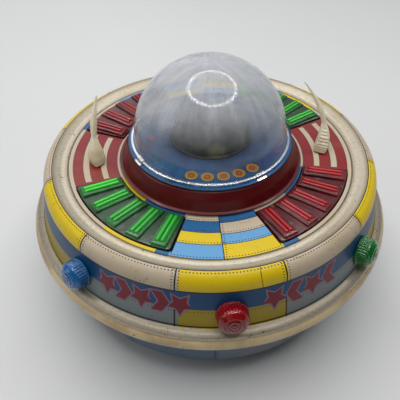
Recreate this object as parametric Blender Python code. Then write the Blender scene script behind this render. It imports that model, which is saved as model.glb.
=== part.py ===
"""A tin-plate flying-saucer toy with a battery-driven, self-steering drive unit.

Metres, +Z up. The origin is on the surface that the toy stands on, under the middle of the hull, and the
toy's front faces -Y. The hull is turned sheet metal about the Z axis: a lower pan, a rim bead and an upper
hull whose side band carries three lamps. A printed deck with four louvred windows, a collar, a cockpit floor
and a clear dome stack on the upper hull. Inside are a battery box, a motor with its gears, a swivelling
drive unit in front and two free wheels behind.
"""

from math import atan2, cos, pi, radians, sin

import bmesh
import bpy
from mathutils import Matrix, Vector

# Fits
GAP = 0.0003            # between pieces that touch
RUN = 0.0003            # round a shaft, all the way round
SHEET = 0.0008          # tin plate

# Hull, from the rim up
RIM_RADIUS = 0.1075
RIM_HEIGHT = 0.0502     # middle of the rim bead above the surface
BEAD_HALF_WIDTH = 0.0038
BEAD_HALF_HEIGHT = 0.0039
SKIRT_WIDTH = 0.0048
SKIRT_DROP = 0.0027
BAND_RISE = 0.0211
BAND_LEAN = 0.0052
SHOULDER_RISE = 0.0077
SHOULDER_WIDTH = 0.0063
GUTTER_WIDTH = 0.0073
GUTTER_DROP = 0.0037
WINDOW_INSET = 0.0022   # deck left standing outside each window
INNER_STRIP = 0.0012    # and between each window and the collar's hem
DECK_LEDGE = WINDOW_INSET - 0.0007  # shelf of the upper hull under the deck
DECK_DROP = 0.0030      # the deck's fall towards the collar
GUTTER_CURVE = ((0.20, 0.30), (0.60, 0.88))  # shares of the gutter's width and drop
THROUGH = 0.0040        # how far a cutter reaches past the sheet on each side
COLLAR_RADIUS = 0.0514
COLLAR_LEAN = 0.0046
COLLAR_RISE = 0.0126
COLLAR_HEM = 0.0016

# Lower hull
HULL_TOP_GAP = 0.0008   # between the pan's top edge and the skirt above it
HULL_TAPER = 0.0030
HULL_FLOOR = 0.0080     # underside of the pan above the surface
HULL_CORNER = 0.0085

# Cockpit
FLOOR_PORT_RADIUS = 0.0200
DOME_RADIUS = 0.0431
DOME_WALL = 0.0012
DOME_STRAIGHT = 0.0008
FLANGE_WIDTH = 0.0018
FLANGE_HEIGHT = 0.0012
LENS_RADIUS = 0.0222
LENS_RISE = 0.0165
LENS_WALL = 0.0012
LENS_FLANGE = 0.0014
LENS_STRAIGHT = 0.0005
BRIDGE_HALF_WIDTH = 0.0075
BRIDGE_THICKNESS = 0.0015
BRIDGE_REACH = 0.0040   # past the deck's bore
POST_BODY_RADIUS = 0.0062
POST_COLLAR = (0.0090, 0.0010)  # radius and thickness of the ledge under the turntable
POST_BORE = 0.0050
POST_LIP = 0.0010       # post above the turntable
POST_FLOOR = 0.0020
BEACON_BULB_RADIUS = 0.0042
BEACON_BULB_RISE = 0.0075       # lamp above the turntable
MIRROR_RADIUS = 0.0112
MIRROR_WALL = 0.0012
MIRROR_HEIGHT = 0.0120

# Louvred windows in the deck: two in front and two behind, between the plain sectors
FRONT_SECTOR = radians(37.0)
SIDE_SECTOR = radians(38.0)
BACK_SECTOR = radians(41.0)
PANEL_RISE = 0.0008
PANEL_DEPTH = 0.0018
PANEL_PLAY = 0.0010     # between a panel and its window
RIB_END_GAP = 0.0006    # between a louvre's end and the panel's edge
RIB_FOOT = 0.0005       # how far a louvre sinks into its sheet
RIB_COUNT = 5
RIB_WIDTH = 0.0076
RIB_RISE = 0.0022
RIB_EDGE = 0.0009

# Antennas
ANTENNA_RADIUS = 0.0653
ANTENNA_FORWARD = radians(5.5)
ANTENNA_HEIGHT = 0.0320
ANTENNA_NECK = 0.42     # share of the height at the waist
ANTENNA_PIN = 0.0015
# for the left and the right one: the foot's turn, and how far in and back its waist and its tip lean
ANTENNA_LEANS = (
    (radians(-4.0), (-0.0004, 0.0062), (0.0031, 0.0182)),
    (radians(18.0), (-0.0021, 0.0081), (0.0086, 0.0226)),
)

# Lamps on the side band
LAMP_ANGLES = (radians(-45.0), 0.0, radians(45.0))
LAMP_RISE = 0.0084       # above the band's foot
LAMP_RADIUS = 0.0077
LAMP_LENGTH = 0.0086
LAMP_WALL = 0.0011
LAMP_PORT = 0.0052
LAMP_BODY_SHARE = 0.50  # of the length, before the crown begins
LAMP_TAPER = (0.96, 0.88)   # of the radius, at the top of the body and under the crown
BULB_RADIUS = 0.0030
BULB_CAP_SHARE = 0.85
BULB_GLASS_SHARE = 1.12
BULB_REAR = 0.0080      # behind the band
BULB_FRONT_GAP = 0.0014
SOCKET_WALL = 0.0022
SOCKET_SPAN = (-0.0075, -0.0016)

# Gears: pitch radius is teeth times half the module
MODULE = 0.0006
MOTOR_TEETH = 10
MAIN_TEETH = 54
BEACON_TEETH = 43
BEACON_PINION_TEETH = 10
ROTOR_TEETH = 46
LOW_PINION_TEETH = 8
LOW_PINION_OVERLAP = 0.0026     # how far the low pinion reaches down behind the crown gear's top
LOW_PINION_WIDTH = 0.0060
CROWN_TEETH = 24
TIP_RELIEF = 0.00025    # teeth stop this far short of the pitch circle
ROOT_DEPTH = 0.0008
GEAR_WIDTH = 0.0030
SHAFT = 0.0015
SHAFT_STANDOUT = 0.0010     # a shaft's end past the plate it runs in

# Drive unit
DRIVE_WHEEL_RADIUS = 0.0140
DRIVE_WHEEL_WIDTH = 0.0060
TYRE_THICKNESS = 0.0026
CHEEK_HALF_SPAN = 0.0120
CHEEK_THICKNESS = 0.0015
TURRET_RADIUS = 0.0250
TURRET_PLATE = 0.0020
TURRET_TOP = 0.0365
HUB_RADIUS = 0.0060
PORT_CLEARANCE = 0.0045
HUB_STANDOUT = 0.0012   # hub above the chassis
CHEEK_HALF_LENGTH = 0.0090
CHEEK_DROP = 0.0045     # cheek below the axle
CHEEK_ROOT = 0.0010     # cheek into the round plate
WHEEL_SIDE_PLAY = 0.0008
AXLE_END = 0.0010
CROWN_WIDTH = 0.0022
DISH = 0.0012           # depth of the dish in a drive wheel's face
DISH_RIM = (0.0022, 0.0034)     # the dish's edge and floor, in from the wheel's rim
DISH_HUB = (0.0022, 0.0030)     # the boss's face and foot, out from the shaft
TYRE_EDGE = 0.0008

# Chassis and gearbox plate
CHASSIS_HALF_WIDTH = 0.0332
CHASSIS_PLATE = 0.0014
CHASSIS_FRONT = -0.0770
GEAR_LEVEL = 0.0450     # underside of the main gear
GEAR_PLATE_LEVEL = 0.0503
GEAR_PLATE = 0.0012
POST_RADIUS = 0.0025
MOTOR_RADIUS = 0.0120
MOTOR_LENGTH = 0.0240
MOTOR_BORE = 0.0100     # room for the shaft inside the can
MOTOR_SHAFT = 0.0080
GEAR_PLATE_X = (-0.0235, 0.0318)
GEAR_PLATE_FRONT = 0.0085       # plate's front edge behind the chassis's
GEAR_PLATE_BACK = 0.0062        # plate's back edge behind the beacon shaft
POST_EDGE = 0.0004
CHASSIS_BACK_GAP = 0.0010

# Battery box, door and cells
CELL_RADIUS = 0.0131
CELL_LENGTH = 0.0500
CELL_NUB = 0.0020
CELL_PLAY = 0.0012
CONTACT_ROOM = 0.0040
BOX_WALL = 0.0012
BOX_FRONT = -0.0065
DOOR_PLAY = 0.0008
DOOR_TAB = (0.0080, 0.0025, 0.0012)     # half width, length and standout of the finger tab
DOOR_TAB_SETBACK = 0.0020
CELL_EDGE = 0.0008
CELL_NUB_RADIUS = 0.0026
CELL_LIFT = 0.0008      # cells above the pan's floor
CONTACT_HALF_HEIGHT = 0.0050
CONTACT_THICKNESS = 0.0024
CONTACT_HALF_WIDTH = 0.0045

# Free wheels behind
REAR_WHEEL_RADIUS = 0.0110
REAR_WHEEL_WIDTH = 0.0055
REAR_TRACK = 0.0345
REAR_CLEARANCE = 0.0016
REAR_AXLE_RADIUS = 0.00125
REAR_AXLE_END = 0.0006
REAR_SLOT_PLAY = (0.0015, 0.0004)       # beside and before the wheel
REAR_EDGE = 0.0008
BRACKET_OFFSET = 0.0035
BRACKET_THICKNESS = 0.0016
BRACKET_HALF_LENGTH = 0.0045
BRACKET_RISE = 0.0055

# Switch
SWITCH_X = -0.0580
SWITCH_TRAVEL = 0.0060
SWITCH_WIDTH = 0.0050
SWITCH_LENGTH = 0.0080
SWITCH_STEM = 0.0015        # half width of the stem, in a slot this much wider:
SWITCH_SLOT_PLAY = 0.0003
SWITCH_STEM_HALF_LENGTH = 0.0020
SWITCH_STANDOUT = 0.0035    # knob below the pan
SWITCH_SHOE = 0.0013
SWITCH_ROOM = 0.0070        # top of the housing above the pan's floor
SWITCH_CASE = 0.0012
SWITCH_END_PLAY = 0.0010

RING_SIDES = 40
PART_SIDES = 20
ROD_SIDES = 12
PORT_SIDES = 34

# Heights and radii that follow from the sizes above
SKIRT_EDGE_RADIUS = RIM_RADIUS - 0.5 * BEAD_HALF_WIDTH
SKIRT_EDGE_HEIGHT = RIM_HEIGHT + BEAD_HALF_HEIGHT + SHEET
BAND_FOOT = (SKIRT_EDGE_RADIUS - SKIRT_WIDTH, SKIRT_EDGE_HEIGHT + SKIRT_DROP)
BAND_TOP = (BAND_FOOT[0] - BAND_LEAN, BAND_FOOT[1] + BAND_RISE)
SHOULDER_TOP = (BAND_TOP[0] - SHOULDER_WIDTH, BAND_TOP[1] + SHOULDER_RISE)
LAMP_HEIGHT = BAND_FOOT[1] + LAMP_RISE
GUTTER_FOOT = (SHOULDER_TOP[0] - GUTTER_WIDTH, SHOULDER_TOP[1] - GUTTER_DROP)
DECK_RADIUS = GUTTER_FOOT[0] - GAP
DECK_BORE = COLLAR_RADIUS - COLLAR_HEM - GAP
DECK_EDGE_TOP = GUTTER_FOOT[1]
HULL_TOP_RADIUS = RIM_RADIUS - 2 * BEAD_HALF_WIDTH - GAP
HULL_BOTTOM_RADIUS = HULL_TOP_RADIUS - HULL_TAPER
HULL_FLAT_RADIUS = HULL_BOTTOM_RADIUS - HULL_CORNER
FLOOR_LEVEL = HULL_FLOOR + SHEET


def deck_top(radius):
    """Height of the deck's upper side: a straight fall from its edge to the collar."""
    share = (DECK_RADIUS - radius) / (DECK_RADIUS - COLLAR_RADIUS)
    return DECK_EDGE_TOP - DECK_DROP * share


COLLAR_FOOT = deck_top(COLLAR_RADIUS) + GAP + SHEET
COLLAR_TOP_RADIUS = COLLAR_RADIUS - COLLAR_LEAN
COLLAR_TOP = deck_top(COLLAR_RADIUS) + COLLAR_RISE - SHEET - GAP
COCKPIT_LEVEL = COLLAR_TOP + GAP + SHEET
DOME_FOOT = COCKPIT_LEVEL + GAP

ROTOR_RADIUS = ROTOR_TEETH * MODULE / 2
BEACON_PINION_RADIUS = BEACON_PINION_TEETH * MODULE / 2
BEACON_RADIUS = BEACON_TEETH * MODULE / 2
MAIN_RADIUS = MAIN_TEETH * MODULE / 2
MOTOR_PINION_RADIUS = MOTOR_TEETH * MODULE / 2
LOW_PINION_RADIUS = LOW_PINION_TEETH * MODULE / 2
CROWN_RADIUS = CROWN_TEETH * MODULE / 2
BEACON_SHAFT_Y = -(ROTOR_RADIUS + BEACON_PINION_RADIUS)
TURRET_Y = BEACON_SHAFT_Y - BEACON_RADIUS - MAIN_RADIUS
MOTOR_X = MAIN_RADIUS + MOTOR_PINION_RADIUS
CHASSIS_TOP = TURRET_TOP + GAP + CHASSIS_PLATE
BRIDGE_LEVEL = deck_top(DECK_BORE) - SHEET - GAP - BRIDGE_THICKNESS
ROTOR_LEVEL = COCKPIT_LEVEL - 2 * SHEET - GEAR_WIDTH
PORT_RADIUS = TURRET_RADIUS + PORT_CLEARANCE

BOX_HALF_WIDTH = 2 * CELL_RADIUS + CELL_PLAY
BOX_BACK = BOX_FRONT + CELL_LENGTH + CELL_NUB + 2 * CONTACT_ROOM
CELL_HEIGHT = FLOOR_LEVEL + CELL_LIFT + CELL_RADIUS
BOX_TOP = CELL_HEIGHT + CELL_RADIUS + CELL_PLAY
REAR_AXLE_Y = BOX_BACK + BOX_WALL + REAR_WHEEL_RADIUS + REAR_CLEARANCE


# Tools for making pieces

def clear_scene():
    for thing in list(bpy.data.objects):
        bpy.data.objects.remove(thing, do_unlink=True)


def material(name, colour, roughness, metallic=0.0, alpha=1.0):
    """A Principled material; a clear one is given by its alpha."""
    made = bpy.data.materials.new(name)
    made.use_nodes = True
    shader = made.node_tree.nodes["Principled BSDF"]
    shader.inputs["Base Color"].default_value = (*colour, 1.0)
    shader.inputs["Roughness"].default_value = roughness
    shader.inputs["Metallic"].default_value = metallic
    shader.inputs["Alpha"].default_value = alpha
    return made


def piece(name, mesh, finish):
    """Closes a bmesh into a named object with its faces pointing out."""
    bmesh.ops.recalc_face_normals(mesh, faces=mesh.faces[:])
    data = bpy.data.meshes.new(name)
    mesh.to_mesh(data)
    mesh.free()
    data.shade_smooth()
    data.set_sharp_from_angle(angle=radians(35))
    made = bpy.data.objects.new(name, data)
    bpy.context.scene.collection.objects.link(made)
    if finish is not None:
        data.materials.append(finish)
    return made


def loops_to_mesh(loops, wrap):
    """Skins a run of point loops. A loop of one point is a pole; wrap joins the last loop to the first."""
    mesh = bmesh.new()
    rings = [[mesh.verts.new(point) for point in loop] for loop in loops]
    pairs = list(zip(rings, rings[1:]))
    if wrap:
        pairs.append((rings[-1], rings[0]))
    for low, high in pairs:
        count = max(len(low), len(high))
        for i in range(count):
            j = (i + 1) % count
            if len(low) == 1:
                mesh.faces.new((low[0], high[i], high[j]))
            elif len(high) == 1:
                mesh.faces.new((low[i], low[j], high[0]))
            else:
                mesh.faces.new((low[i], low[j], high[j], high[i]))
    if not wrap:
        for ring in (rings[0], rings[-1]):
            if len(ring) > 2:
                mesh.faces.new(ring)
    return mesh


def turned(name, outline, finish, sides=RING_SIDES):
    """Turns an outline of (radius, height) points about Z. It closes on itself, or at the axis."""
    loops = []
    for radius, height in outline:
        if radius < 1e-7:
            loops.append([(0.0, 0.0, height)])
            continue
        turns = [2 * pi * k / sides for k in range(sides)]
        loops.append([(radius * cos(a), radius * sin(a), height) for a in turns])
    wrap = all(len(loop) > 1 for loop in loops)
    return piece(name, loops_to_mesh(loops, wrap), finish)


def arc(centre, radii, first, last, steps):
    """Points on an ellipse about centre, from one angle to another in degrees, both ends included."""
    angles = [radians(first + (last - first) * k / steps) for k in range(steps + 1)]
    return [(centre[0] + radii[0] * cos(a), centre[1] + radii[1] * sin(a)) for a in angles]


def offset_line(points, distance):
    """The same line moved sideways, to its left for a positive distance, with mitred corners."""
    moved = []
    for i, point in enumerate(points):
        normals = []
        for a, b in ((i - 1, i), (i, i + 1)):
            if a < 0 or b >= len(points):
                continue
            along = Vector(points[b]) - Vector(points[a])
            normals.append(Vector((-along.y, along.x)).normalized())
        middle = sum(normals, Vector((0.0, 0.0))).normalized()
        reach = distance / max(middle.dot(normals[0]), 0.4)
        moved.append((point[0] + middle.x * reach, point[1] + middle.y * reach))
    return moved


def sheet_outline(points, thickness):
    """A closed outline of bent sheet: a line and the same line moved to its left by the thickness."""
    return points + offset_line(points, thickness)[::-1]


def prism(name, outline, low, high, finish):
    """Extrudes an (x, y) outline from one height to another."""
    loops = [[(x, y, z) for x, y in outline] for z in (low, high)]
    return piece(name, loops_to_mesh(loops, False), finish)


def block(name, low, high, finish=None):
    """A box between two corners."""
    outline = [(low[0], low[1]), (high[0], low[1]), (high[0], high[1]), (low[0], high[1])]
    return prism(name, outline, low[2], high[2], finish)


def round_outline(radius, sides, centre=(0.0, 0.0)):
    turns = [2 * pi * k / sides for k in range(sides)]
    return [(centre[0] + radius * cos(a), centre[1] + radius * sin(a)) for a in turns]


def tooth_outline(teeth, radius, centre=(0.0, 0.0)):
    """A gear's outline: a point on the tip circle and one on the root circle for each tooth."""
    points = []
    for k in range(2 * teeth):
        turn = pi * k / teeth
        size = radius - TIP_RELIEF - (ROOT_DEPTH if k % 2 else 0.0)
        points.append((centre[0] + size * cos(turn), centre[1] + size * sin(turn)))
    return points


def rod(name, radius, reach):
    """A round cutter about Z, reaching as far below the origin as above it."""
    return turned(name, [(0, -reach), (radius, -reach), (radius, reach), (0, reach)], None, PART_SIDES)


def helper(thing):
    """Marks a shape that only cuts or extends another, so it isn't a piece itself."""
    thing.hide_render = True
    thing.display_type = "WIRE"
    return thing


def combine(thing, other, operation):
    """Cuts or joins with an exact Boolean, keeping the other shape as a helper."""
    step = thing.modifiers.new(operation.title(), "BOOLEAN")
    step.operation = operation
    step.solver = "EXACT"
    step.object = helper(other)


def cut(thing, other):
    combine(thing, other, "DIFFERENCE")


def join(thing, other):
    combine(thing, other, "UNION")


def place(thing, location, turn=None):
    """Moves a piece to its seat, with an optional rotation matrix."""
    thing.matrix_world = Matrix.Translation(location) @ (turn or Matrix()).to_4x4()
    return thing


def pivot(name, location, things):
    """An empty on a joint's axis that carries its pieces, which keep their places."""
    empty = bpy.data.objects.new(name, None)
    bpy.context.scene.collection.objects.link(empty)
    empty.location = location
    for thing in things:
        thing.parent = empty
        thing.matrix_parent_inverse = Matrix.Translation(location).inverted()


ALONG_X = Matrix.Rotation(pi / 2, 4, "Y")
ALONG_Y = Matrix.Rotation(-pi / 2, 4, "X")


# Hull

def make_upper_hull(finish):
    """One stamping: skirt, side band, rounded shoulder, gutter and the shelf under the deck."""
    shoulder = arc((SHOULDER_TOP[0], BAND_TOP[1]), (SHOULDER_WIDTH, SHOULDER_RISE), 0, 90, 3)
    start, top = SHOULDER_TOP
    gutter = [(start - across * GUTTER_WIDTH, top - down * GUTTER_DROP) for across, down in GUTTER_CURVE]
    gutter.append(GUTTER_FOOT)
    shelf = [
        (GUTTER_FOOT[0], GUTTER_FOOT[1] - SHEET - GAP),
        (GUTTER_FOOT[0] - DECK_LEDGE, deck_top(GUTTER_FOOT[0] - DECK_LEDGE) - SHEET - GAP),
    ]
    line = [(SKIRT_EDGE_RADIUS, SKIRT_EDGE_HEIGHT), BAND_FOOT] + shoulder + gutter + shelf
    hull = turned("upper_hull", sheet_outline(line, SHEET), finish)
    for k, angle in enumerate(LAMP_ANGLES):
        cut(hull, place(rod(f"lamp_port_{k}", LAMP_PORT, THROUGH), *lamp_seat(angle)))
    return hull


def make_rim_bead(finish):
    """The edge of the tin, rolled most of the way round into a hollow bead."""
    middle = (RIM_RADIUS - BEAD_HALF_WIDTH, RIM_HEIGHT)
    roll = arc(middle, (BEAD_HALF_WIDTH, BEAD_HALF_HEIGHT), 0, 315, 7)
    return turned("rim_bead", sheet_outline(roll, SHEET), finish)


def make_lower_hull(finish):
    """The pan: a steep wall, a rounded corner and a flat floor with its ports cut through."""
    corner = arc((HULL_FLAT_RADIUS, HULL_FLOOR + HULL_CORNER), (HULL_CORNER, HULL_CORNER), 270, 360, 3)
    skirt_under = SKIRT_EDGE_HEIGHT - 2 * SHEET - HULL_TOP_GAP + SKIRT_DROP / 2
    line = [(0.0, HULL_FLOOR)] + corner + [(HULL_TOP_RADIUS, skirt_under)]
    inner = offset_line(line, SHEET)
    inner[0] = (0.0, FLOOR_LEVEL)
    pan = turned("lower_hull", line + inner[::-1], finish)
    low, high = HULL_FLOOR - THROUGH / 2, FLOOR_LEVEL + THROUGH / 2
    cut(pan, prism("turret_port", round_outline(PORT_RADIUS, PORT_SIDES, (0, TURRET_Y)), low, high, None))
    cut(pan, block("battery_port", (-BOX_HALF_WIDTH, BOX_FRONT, low), (BOX_HALF_WIDTH, BOX_BACK, high)))
    beside, before = REAR_SLOT_PLAY
    half_slot = REAR_WHEEL_WIDTH / 2 + beside
    above = 2 * REAR_WHEEL_RADIUS + before
    for side in (-1, 1):
        middle = side * REAR_TRACK
        slot = block(f"wheel_slot_{side + 1}",
                     (middle - half_slot, REAR_AXLE_Y - REAR_WHEEL_RADIUS - before, low),
                     (middle + half_slot, REAR_AXLE_Y + REAR_WHEEL_RADIUS + before, above))
        cut(pan, slot)
    half = SWITCH_STEM + SWITCH_SLOT_PLAY
    reach = SWITCH_TRAVEL / 2 + SWITCH_STEM_HALF_LENGTH + SWITCH_SLOT_PLAY
    cut(pan, block("switch_slot", (SWITCH_X - half, -reach, low), (SWITCH_X + half, reach, high)))
    return pan


# Deck

def window_spans():
    """Start and end angle of each louvred window, counted from +X: front left, front right, back right,
    back left."""
    front = -pi / 2
    side = (2 * pi - FRONT_SECTOR - BACK_SECTOR - 2 * SIDE_SECTOR) / 4
    right = (front + FRONT_SECTOR / 2, front + FRONT_SECTOR / 2 + side)
    rear = (right[1] + SIDE_SECTOR, right[1] + SIDE_SECTOR + side)
    mirrored = [(-pi - b, -pi - a) for a, b in (right, rear)]
    return {"front_left": mirrored[0], "front_right": right, "back_right": rear, "back_left": mirrored[1]}


def sector_block(name, radii, angles, depth, rise, finish):
    """A block over part of the deck's ring, following its slope, with straight radial ends."""
    steps = max(2, round(abs(angles[1] - angles[0]) / radians(7.5)))
    turns = [angles[0] + (angles[1] - angles[0]) * k / steps for k in range(steps + 1)]
    loops = []
    for a in turns:
        inner, outer = radii
        loops.append([
            (inner * cos(a), inner * sin(a), deck_top(inner) - depth),
            (outer * cos(a), outer * sin(a), deck_top(outer) - depth),
            (outer * cos(a), outer * sin(a), deck_top(outer) + rise),
            (inner * cos(a), inner * sin(a), deck_top(inner) + rise),
        ])
    return piece(name, loops_to_mesh(loops, False), finish)


WINDOW_RADII = (COLLAR_RADIUS + COLLAR_HEM + INNER_STRIP, DECK_RADIUS - WINDOW_INSET)
PANEL_RADII = (WINDOW_RADII[0] + PANEL_PLAY, WINDOW_RADII[1] - PANEL_PLAY)


def make_deck(finish):
    edge = [(DECK_RADIUS, deck_top(DECK_RADIUS)), (DECK_BORE, deck_top(DECK_BORE))]
    outline = edge + [(r, z - SHEET) for r, z in reversed(edge)]
    deck = turned("deck_plate", outline, finish)
    for place_name, angles in window_spans().items():
        window = sector_block(f"window_{place_name}", WINDOW_RADII, angles, THROUGH, THROUGH, None)
        cut(deck, window)
    for side in (-1, 1):
        x, y = antenna_seat(side)
        hole = prism(f"antenna_hole_{side + 1}", round_outline(ANTENNA_PIN + RUN, PART_SIDES, (x, y)),
                     deck_top(ANTENNA_RADIUS) - THROUGH, deck_top(ANTENNA_RADIUS) + THROUGH, None)
        cut(deck, hole)
    return deck


def rib_loops(angle):
    """One louvre: a round-ended bar along a radius, its top edge eased."""
    inset_end = RIB_WIDTH / 2 + RIB_END_GAP
    start, end = PANEL_RADII[0] + inset_end, PANEL_RADII[1] - inset_end
    loops = []
    for inset, rise in ((0.0, -RIB_FOOT), (0.0, RIB_RISE - RIB_EDGE), (RIB_EDGE, RIB_RISE)):
        half = RIB_WIDTH / 2 - inset
        ring = arc((end, 0), (half, half), -90, 90, 4) + arc((start, 0), (half, half), 90, 270, 4)
        loop = []
        for along, across in ring:
            height = deck_top(along) + PANEL_RISE + rise
            x, y = along * cos(angle) - across * sin(angle), along * sin(angle) + across * cos(angle)
            loop.append((x, y, height))
        loops.append(loop)
    return loops


def make_louvre_panel(place_name, angles, finish):
    """A translucent sheet in its window, with raised louvres over it."""
    play = PANEL_PLAY / PANEL_RADII[0]
    inside = (angles[0] + play, angles[1] - play)
    panel = sector_block(f"louvre_panel_{place_name}", PANEL_RADII, inside, PANEL_DEPTH, PANEL_RISE, finish)
    pitch = (angles[1] - angles[0]) / RIB_COUNT
    for k in range(RIB_COUNT):
        rib = loops_to_mesh(rib_loops(angles[0] + (k + 0.5) * pitch), False)
        join(panel, piece(f"rib_{place_name}_{k}", rib, None))
    return panel


# share of the height, half width across and half depth of each section of an antenna
ANTENNA_SECTIONS = (
    (0.0, 0.0042, 0.0048), (0.10, 0.0049, 0.0053), (0.22, 0.0040, 0.0045), (0.34, 0.0025, 0.0030),
    (0.42, 0.0015, 0.0019), (0.50, 0.0018, 0.0022), (0.62, 0.0020, 0.0025), (0.80, 0.0012, 0.0015),
    (1.0, 0.0004, 0.0005),
)
ANTENNA_STEP = 0.0009   # foot above the deck
ANTENNA_PIN_DEPTH = 0.0060
ANTENNA_FACET = 0.80    # how far the middle of each facet stands out, against a round section's 1


def antenna_seat(side):
    """Where an antenna's pin goes through the deck; side is -1 on the left and 1 on the right."""
    return (side * ANTENNA_RADIUS * cos(ANTENNA_FORWARD), -ANTENNA_RADIUS * sin(ANTENNA_FORWARD))


def make_antenna(name, side, lean, finish):
    """A moulded horn on a round pin: a diamond foot, a waist and a blade that leans back and inwards. The
    lean at a share s of the height is a s + b s^2, through the waist and the tip."""
    turn, neck, tip = lean
    k = ANTENNA_NECK
    bend = [(n - k * t) / (k * k - k) for n, t in zip(neck, tip)]
    slope = [t - b for t, b in zip(tip, bend)]
    x, y = antenna_seat(side)
    base = deck_top(ANTENNA_RADIUS) + ANTENNA_STEP
    loops = [[(x + px, y + py, base - ANTENNA_PIN_DEPTH) for px, py in round_outline(ANTENNA_PIN, 8)],
             [(x + px, y + py, base) for px, py in round_outline(ANTENNA_PIN, 8)]]
    for share, wide, deep in ANTENNA_SECTIONS:
        inward, back = (a * share + b * share * share for a, b in zip(slope, bend))
        ring = []
        for corner in range(8):
            a = pi * corner / 4
            ease = 1.0 if corner % 2 == 0 else ANTENNA_FACET
            u, v = wide * cos(a) * ease, deep * sin(a) * ease
            ring.append((x - side * inward + u * cos(turn) - v * sin(turn),
                         y + back + u * sin(turn) + v * cos(turn), base + ANTENNA_HEIGHT * share))
        loops.append(ring)
    return piece(name, loops_to_mesh(loops, False), finish)


# Collar, cockpit and dome

def make_collar(finish):
    line = [
        (COLLAR_RADIUS + COLLAR_HEM, COLLAR_FOOT + DECK_DROP * 0.05),
        (COLLAR_RADIUS, COLLAR_FOOT + SHEET * 0.3),
        (COLLAR_TOP_RADIUS, COLLAR_TOP),
        (COLLAR_TOP_RADIUS - 0.0040, COLLAR_TOP),
    ]
    return turned("collar_ring", sheet_outline(line, SHEET), finish)


def make_cockpit_floor(finish):
    """A disc with a raised seat round its edge and a port for the beacon."""
    seat = COLLAR_TOP_RADIUS + 0.0002
    outline = [
        (FLOOR_PORT_RADIUS, COCKPIT_LEVEL - SHEET), (seat, COCKPIT_LEVEL - SHEET), (seat, COCKPIT_LEVEL),
        (FLOOR_PORT_RADIUS, COCKPIT_LEVEL),
    ]
    return turned("cockpit_floor", outline, finish)


def dome_outline(radius, rise, wall, straight, flange, steps):
    """A bell with a flange: outside from the flange up to the crown, then back down the inside."""
    foot, ledge = DOME_FOOT, DOME_FOOT + FLANGE_HEIGHT
    shoulder = ledge + straight
    outer = arc((0, shoulder), (radius, rise), 0, 90, steps)
    inner = arc((0, shoulder), (radius - wall, rise - wall), 90, 0, steps)
    outer[-1] = (0.0, shoulder + rise)
    inner[0] = (0.0, shoulder + rise - wall)
    start = [(radius + flange, foot), (radius + flange, ledge), (radius, ledge)]
    return [(radius - wall, foot)] + start + outer + inner


def make_shell_dome(name, outline, finish, sides):
    """Turns a bell's outline: it closes at both crowns and along its foot."""
    loops = []
    for radius, height in outline[1:] + outline[:1]:
        if radius < 1e-7:
            loops.append([(0.0, 0.0, height)])
        else:
            loops.append([(x, y, height) for x, y in round_outline(radius, sides)])
    mesh = bmesh.new()
    rings = [[mesh.verts.new(point) for point in loop] for loop in loops]
    for low, high in zip(rings, rings[1:] + rings[:1]):
        if len(low) == 1 and len(high) == 1:
            continue
        for i in range(sides):
            j = (i + 1) % sides
            corners = (low[0], high[i], high[j]) if len(low) == 1 else (
                (low[i], low[j], high[0]) if len(high) == 1 else (low[i], low[j], high[j], high[i]))
            mesh.faces.new(corners)
    return piece(name, mesh, finish)


def make_beacon_parts(metal, mirror, glass):
    """The bridge under the cockpit, the post with its lamp, and the ring gear that carries the mirror."""
    reach = DECK_BORE + BRIDGE_REACH
    foot = BRIDGE_LEVEL + BRIDGE_THICKNESS
    half = BRIDGE_HALF_WIDTH
    block("beacon_bridge", (-reach, -half, BRIDGE_LEVEL), (reach, half, foot), metal)
    foot += GAP
    ledge_radius, ledge = POST_COLLAR
    seat, top = ROTOR_LEVEL - GAP, ROTOR_LEVEL + GEAR_WIDTH + POST_LIP
    outline = [
        (0.0, foot), (POST_BODY_RADIUS, foot), (POST_BODY_RADIUS, seat - ledge), (ledge_radius, seat - ledge),
        (ledge_radius, seat), (POST_BODY_RADIUS, seat), (POST_BODY_RADIUS, top), (POST_BORE, top),
        (POST_BORE, foot + POST_FLOOR), (0.0, foot + POST_FLOOR),
    ]
    turned("beacon_post", outline, metal, PART_SIDES)
    bulb_top = ROTOR_LEVEL + GEAR_WIDTH + BEACON_BULB_RISE
    make_bulb("beacon_bulb", BEACON_BULB_RADIUS, foot + POST_FLOOR + GAP, bulb_top, glass)
    ring_top = ROTOR_LEVEL + GEAR_WIDTH
    ring = prism("beacon_rotor", tooth_outline(ROTOR_TEETH, ROTOR_RADIUS), ROTOR_LEVEL, ring_top, mirror)
    hole = round_outline(POST_BODY_RADIUS + RUN, PART_SIDES)
    cut(ring, prism("rotor_bore", hole, ROTOR_LEVEL - THROUGH, ring_top + THROUGH, None))
    outer, inner = MIRROR_RADIUS, MIRROR_RADIUS - MIRROR_WALL
    shade = arc((0, 0), (outer, outer), 10, 170, 10) + arc((0, 0), (inner, inner), 170, 10, 10)
    join(ring, prism("mirror_wall", shade, ROTOR_LEVEL + GEAR_WIDTH / 2, ring_top + MIRROR_HEIGHT, None))
    return ring


def make_bulb(name, radius, low, high, finish):
    """A small lamp: a straight cap below and a round glass above, as one turned solid."""
    glass = radius * BULB_GLASS_SHARE
    middle = high - glass
    cap = radius * BULB_CAP_SHARE
    outline = [(0.0, low), (cap, low), (cap, middle - glass * BULB_CAP_SHARE)]
    outline += arc((0, middle), (glass, glass), -40, 90, 4)
    outline[-1] = (0.0, high)
    return turned(name, outline, finish, ROD_SIDES)


# Lamps

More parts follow.
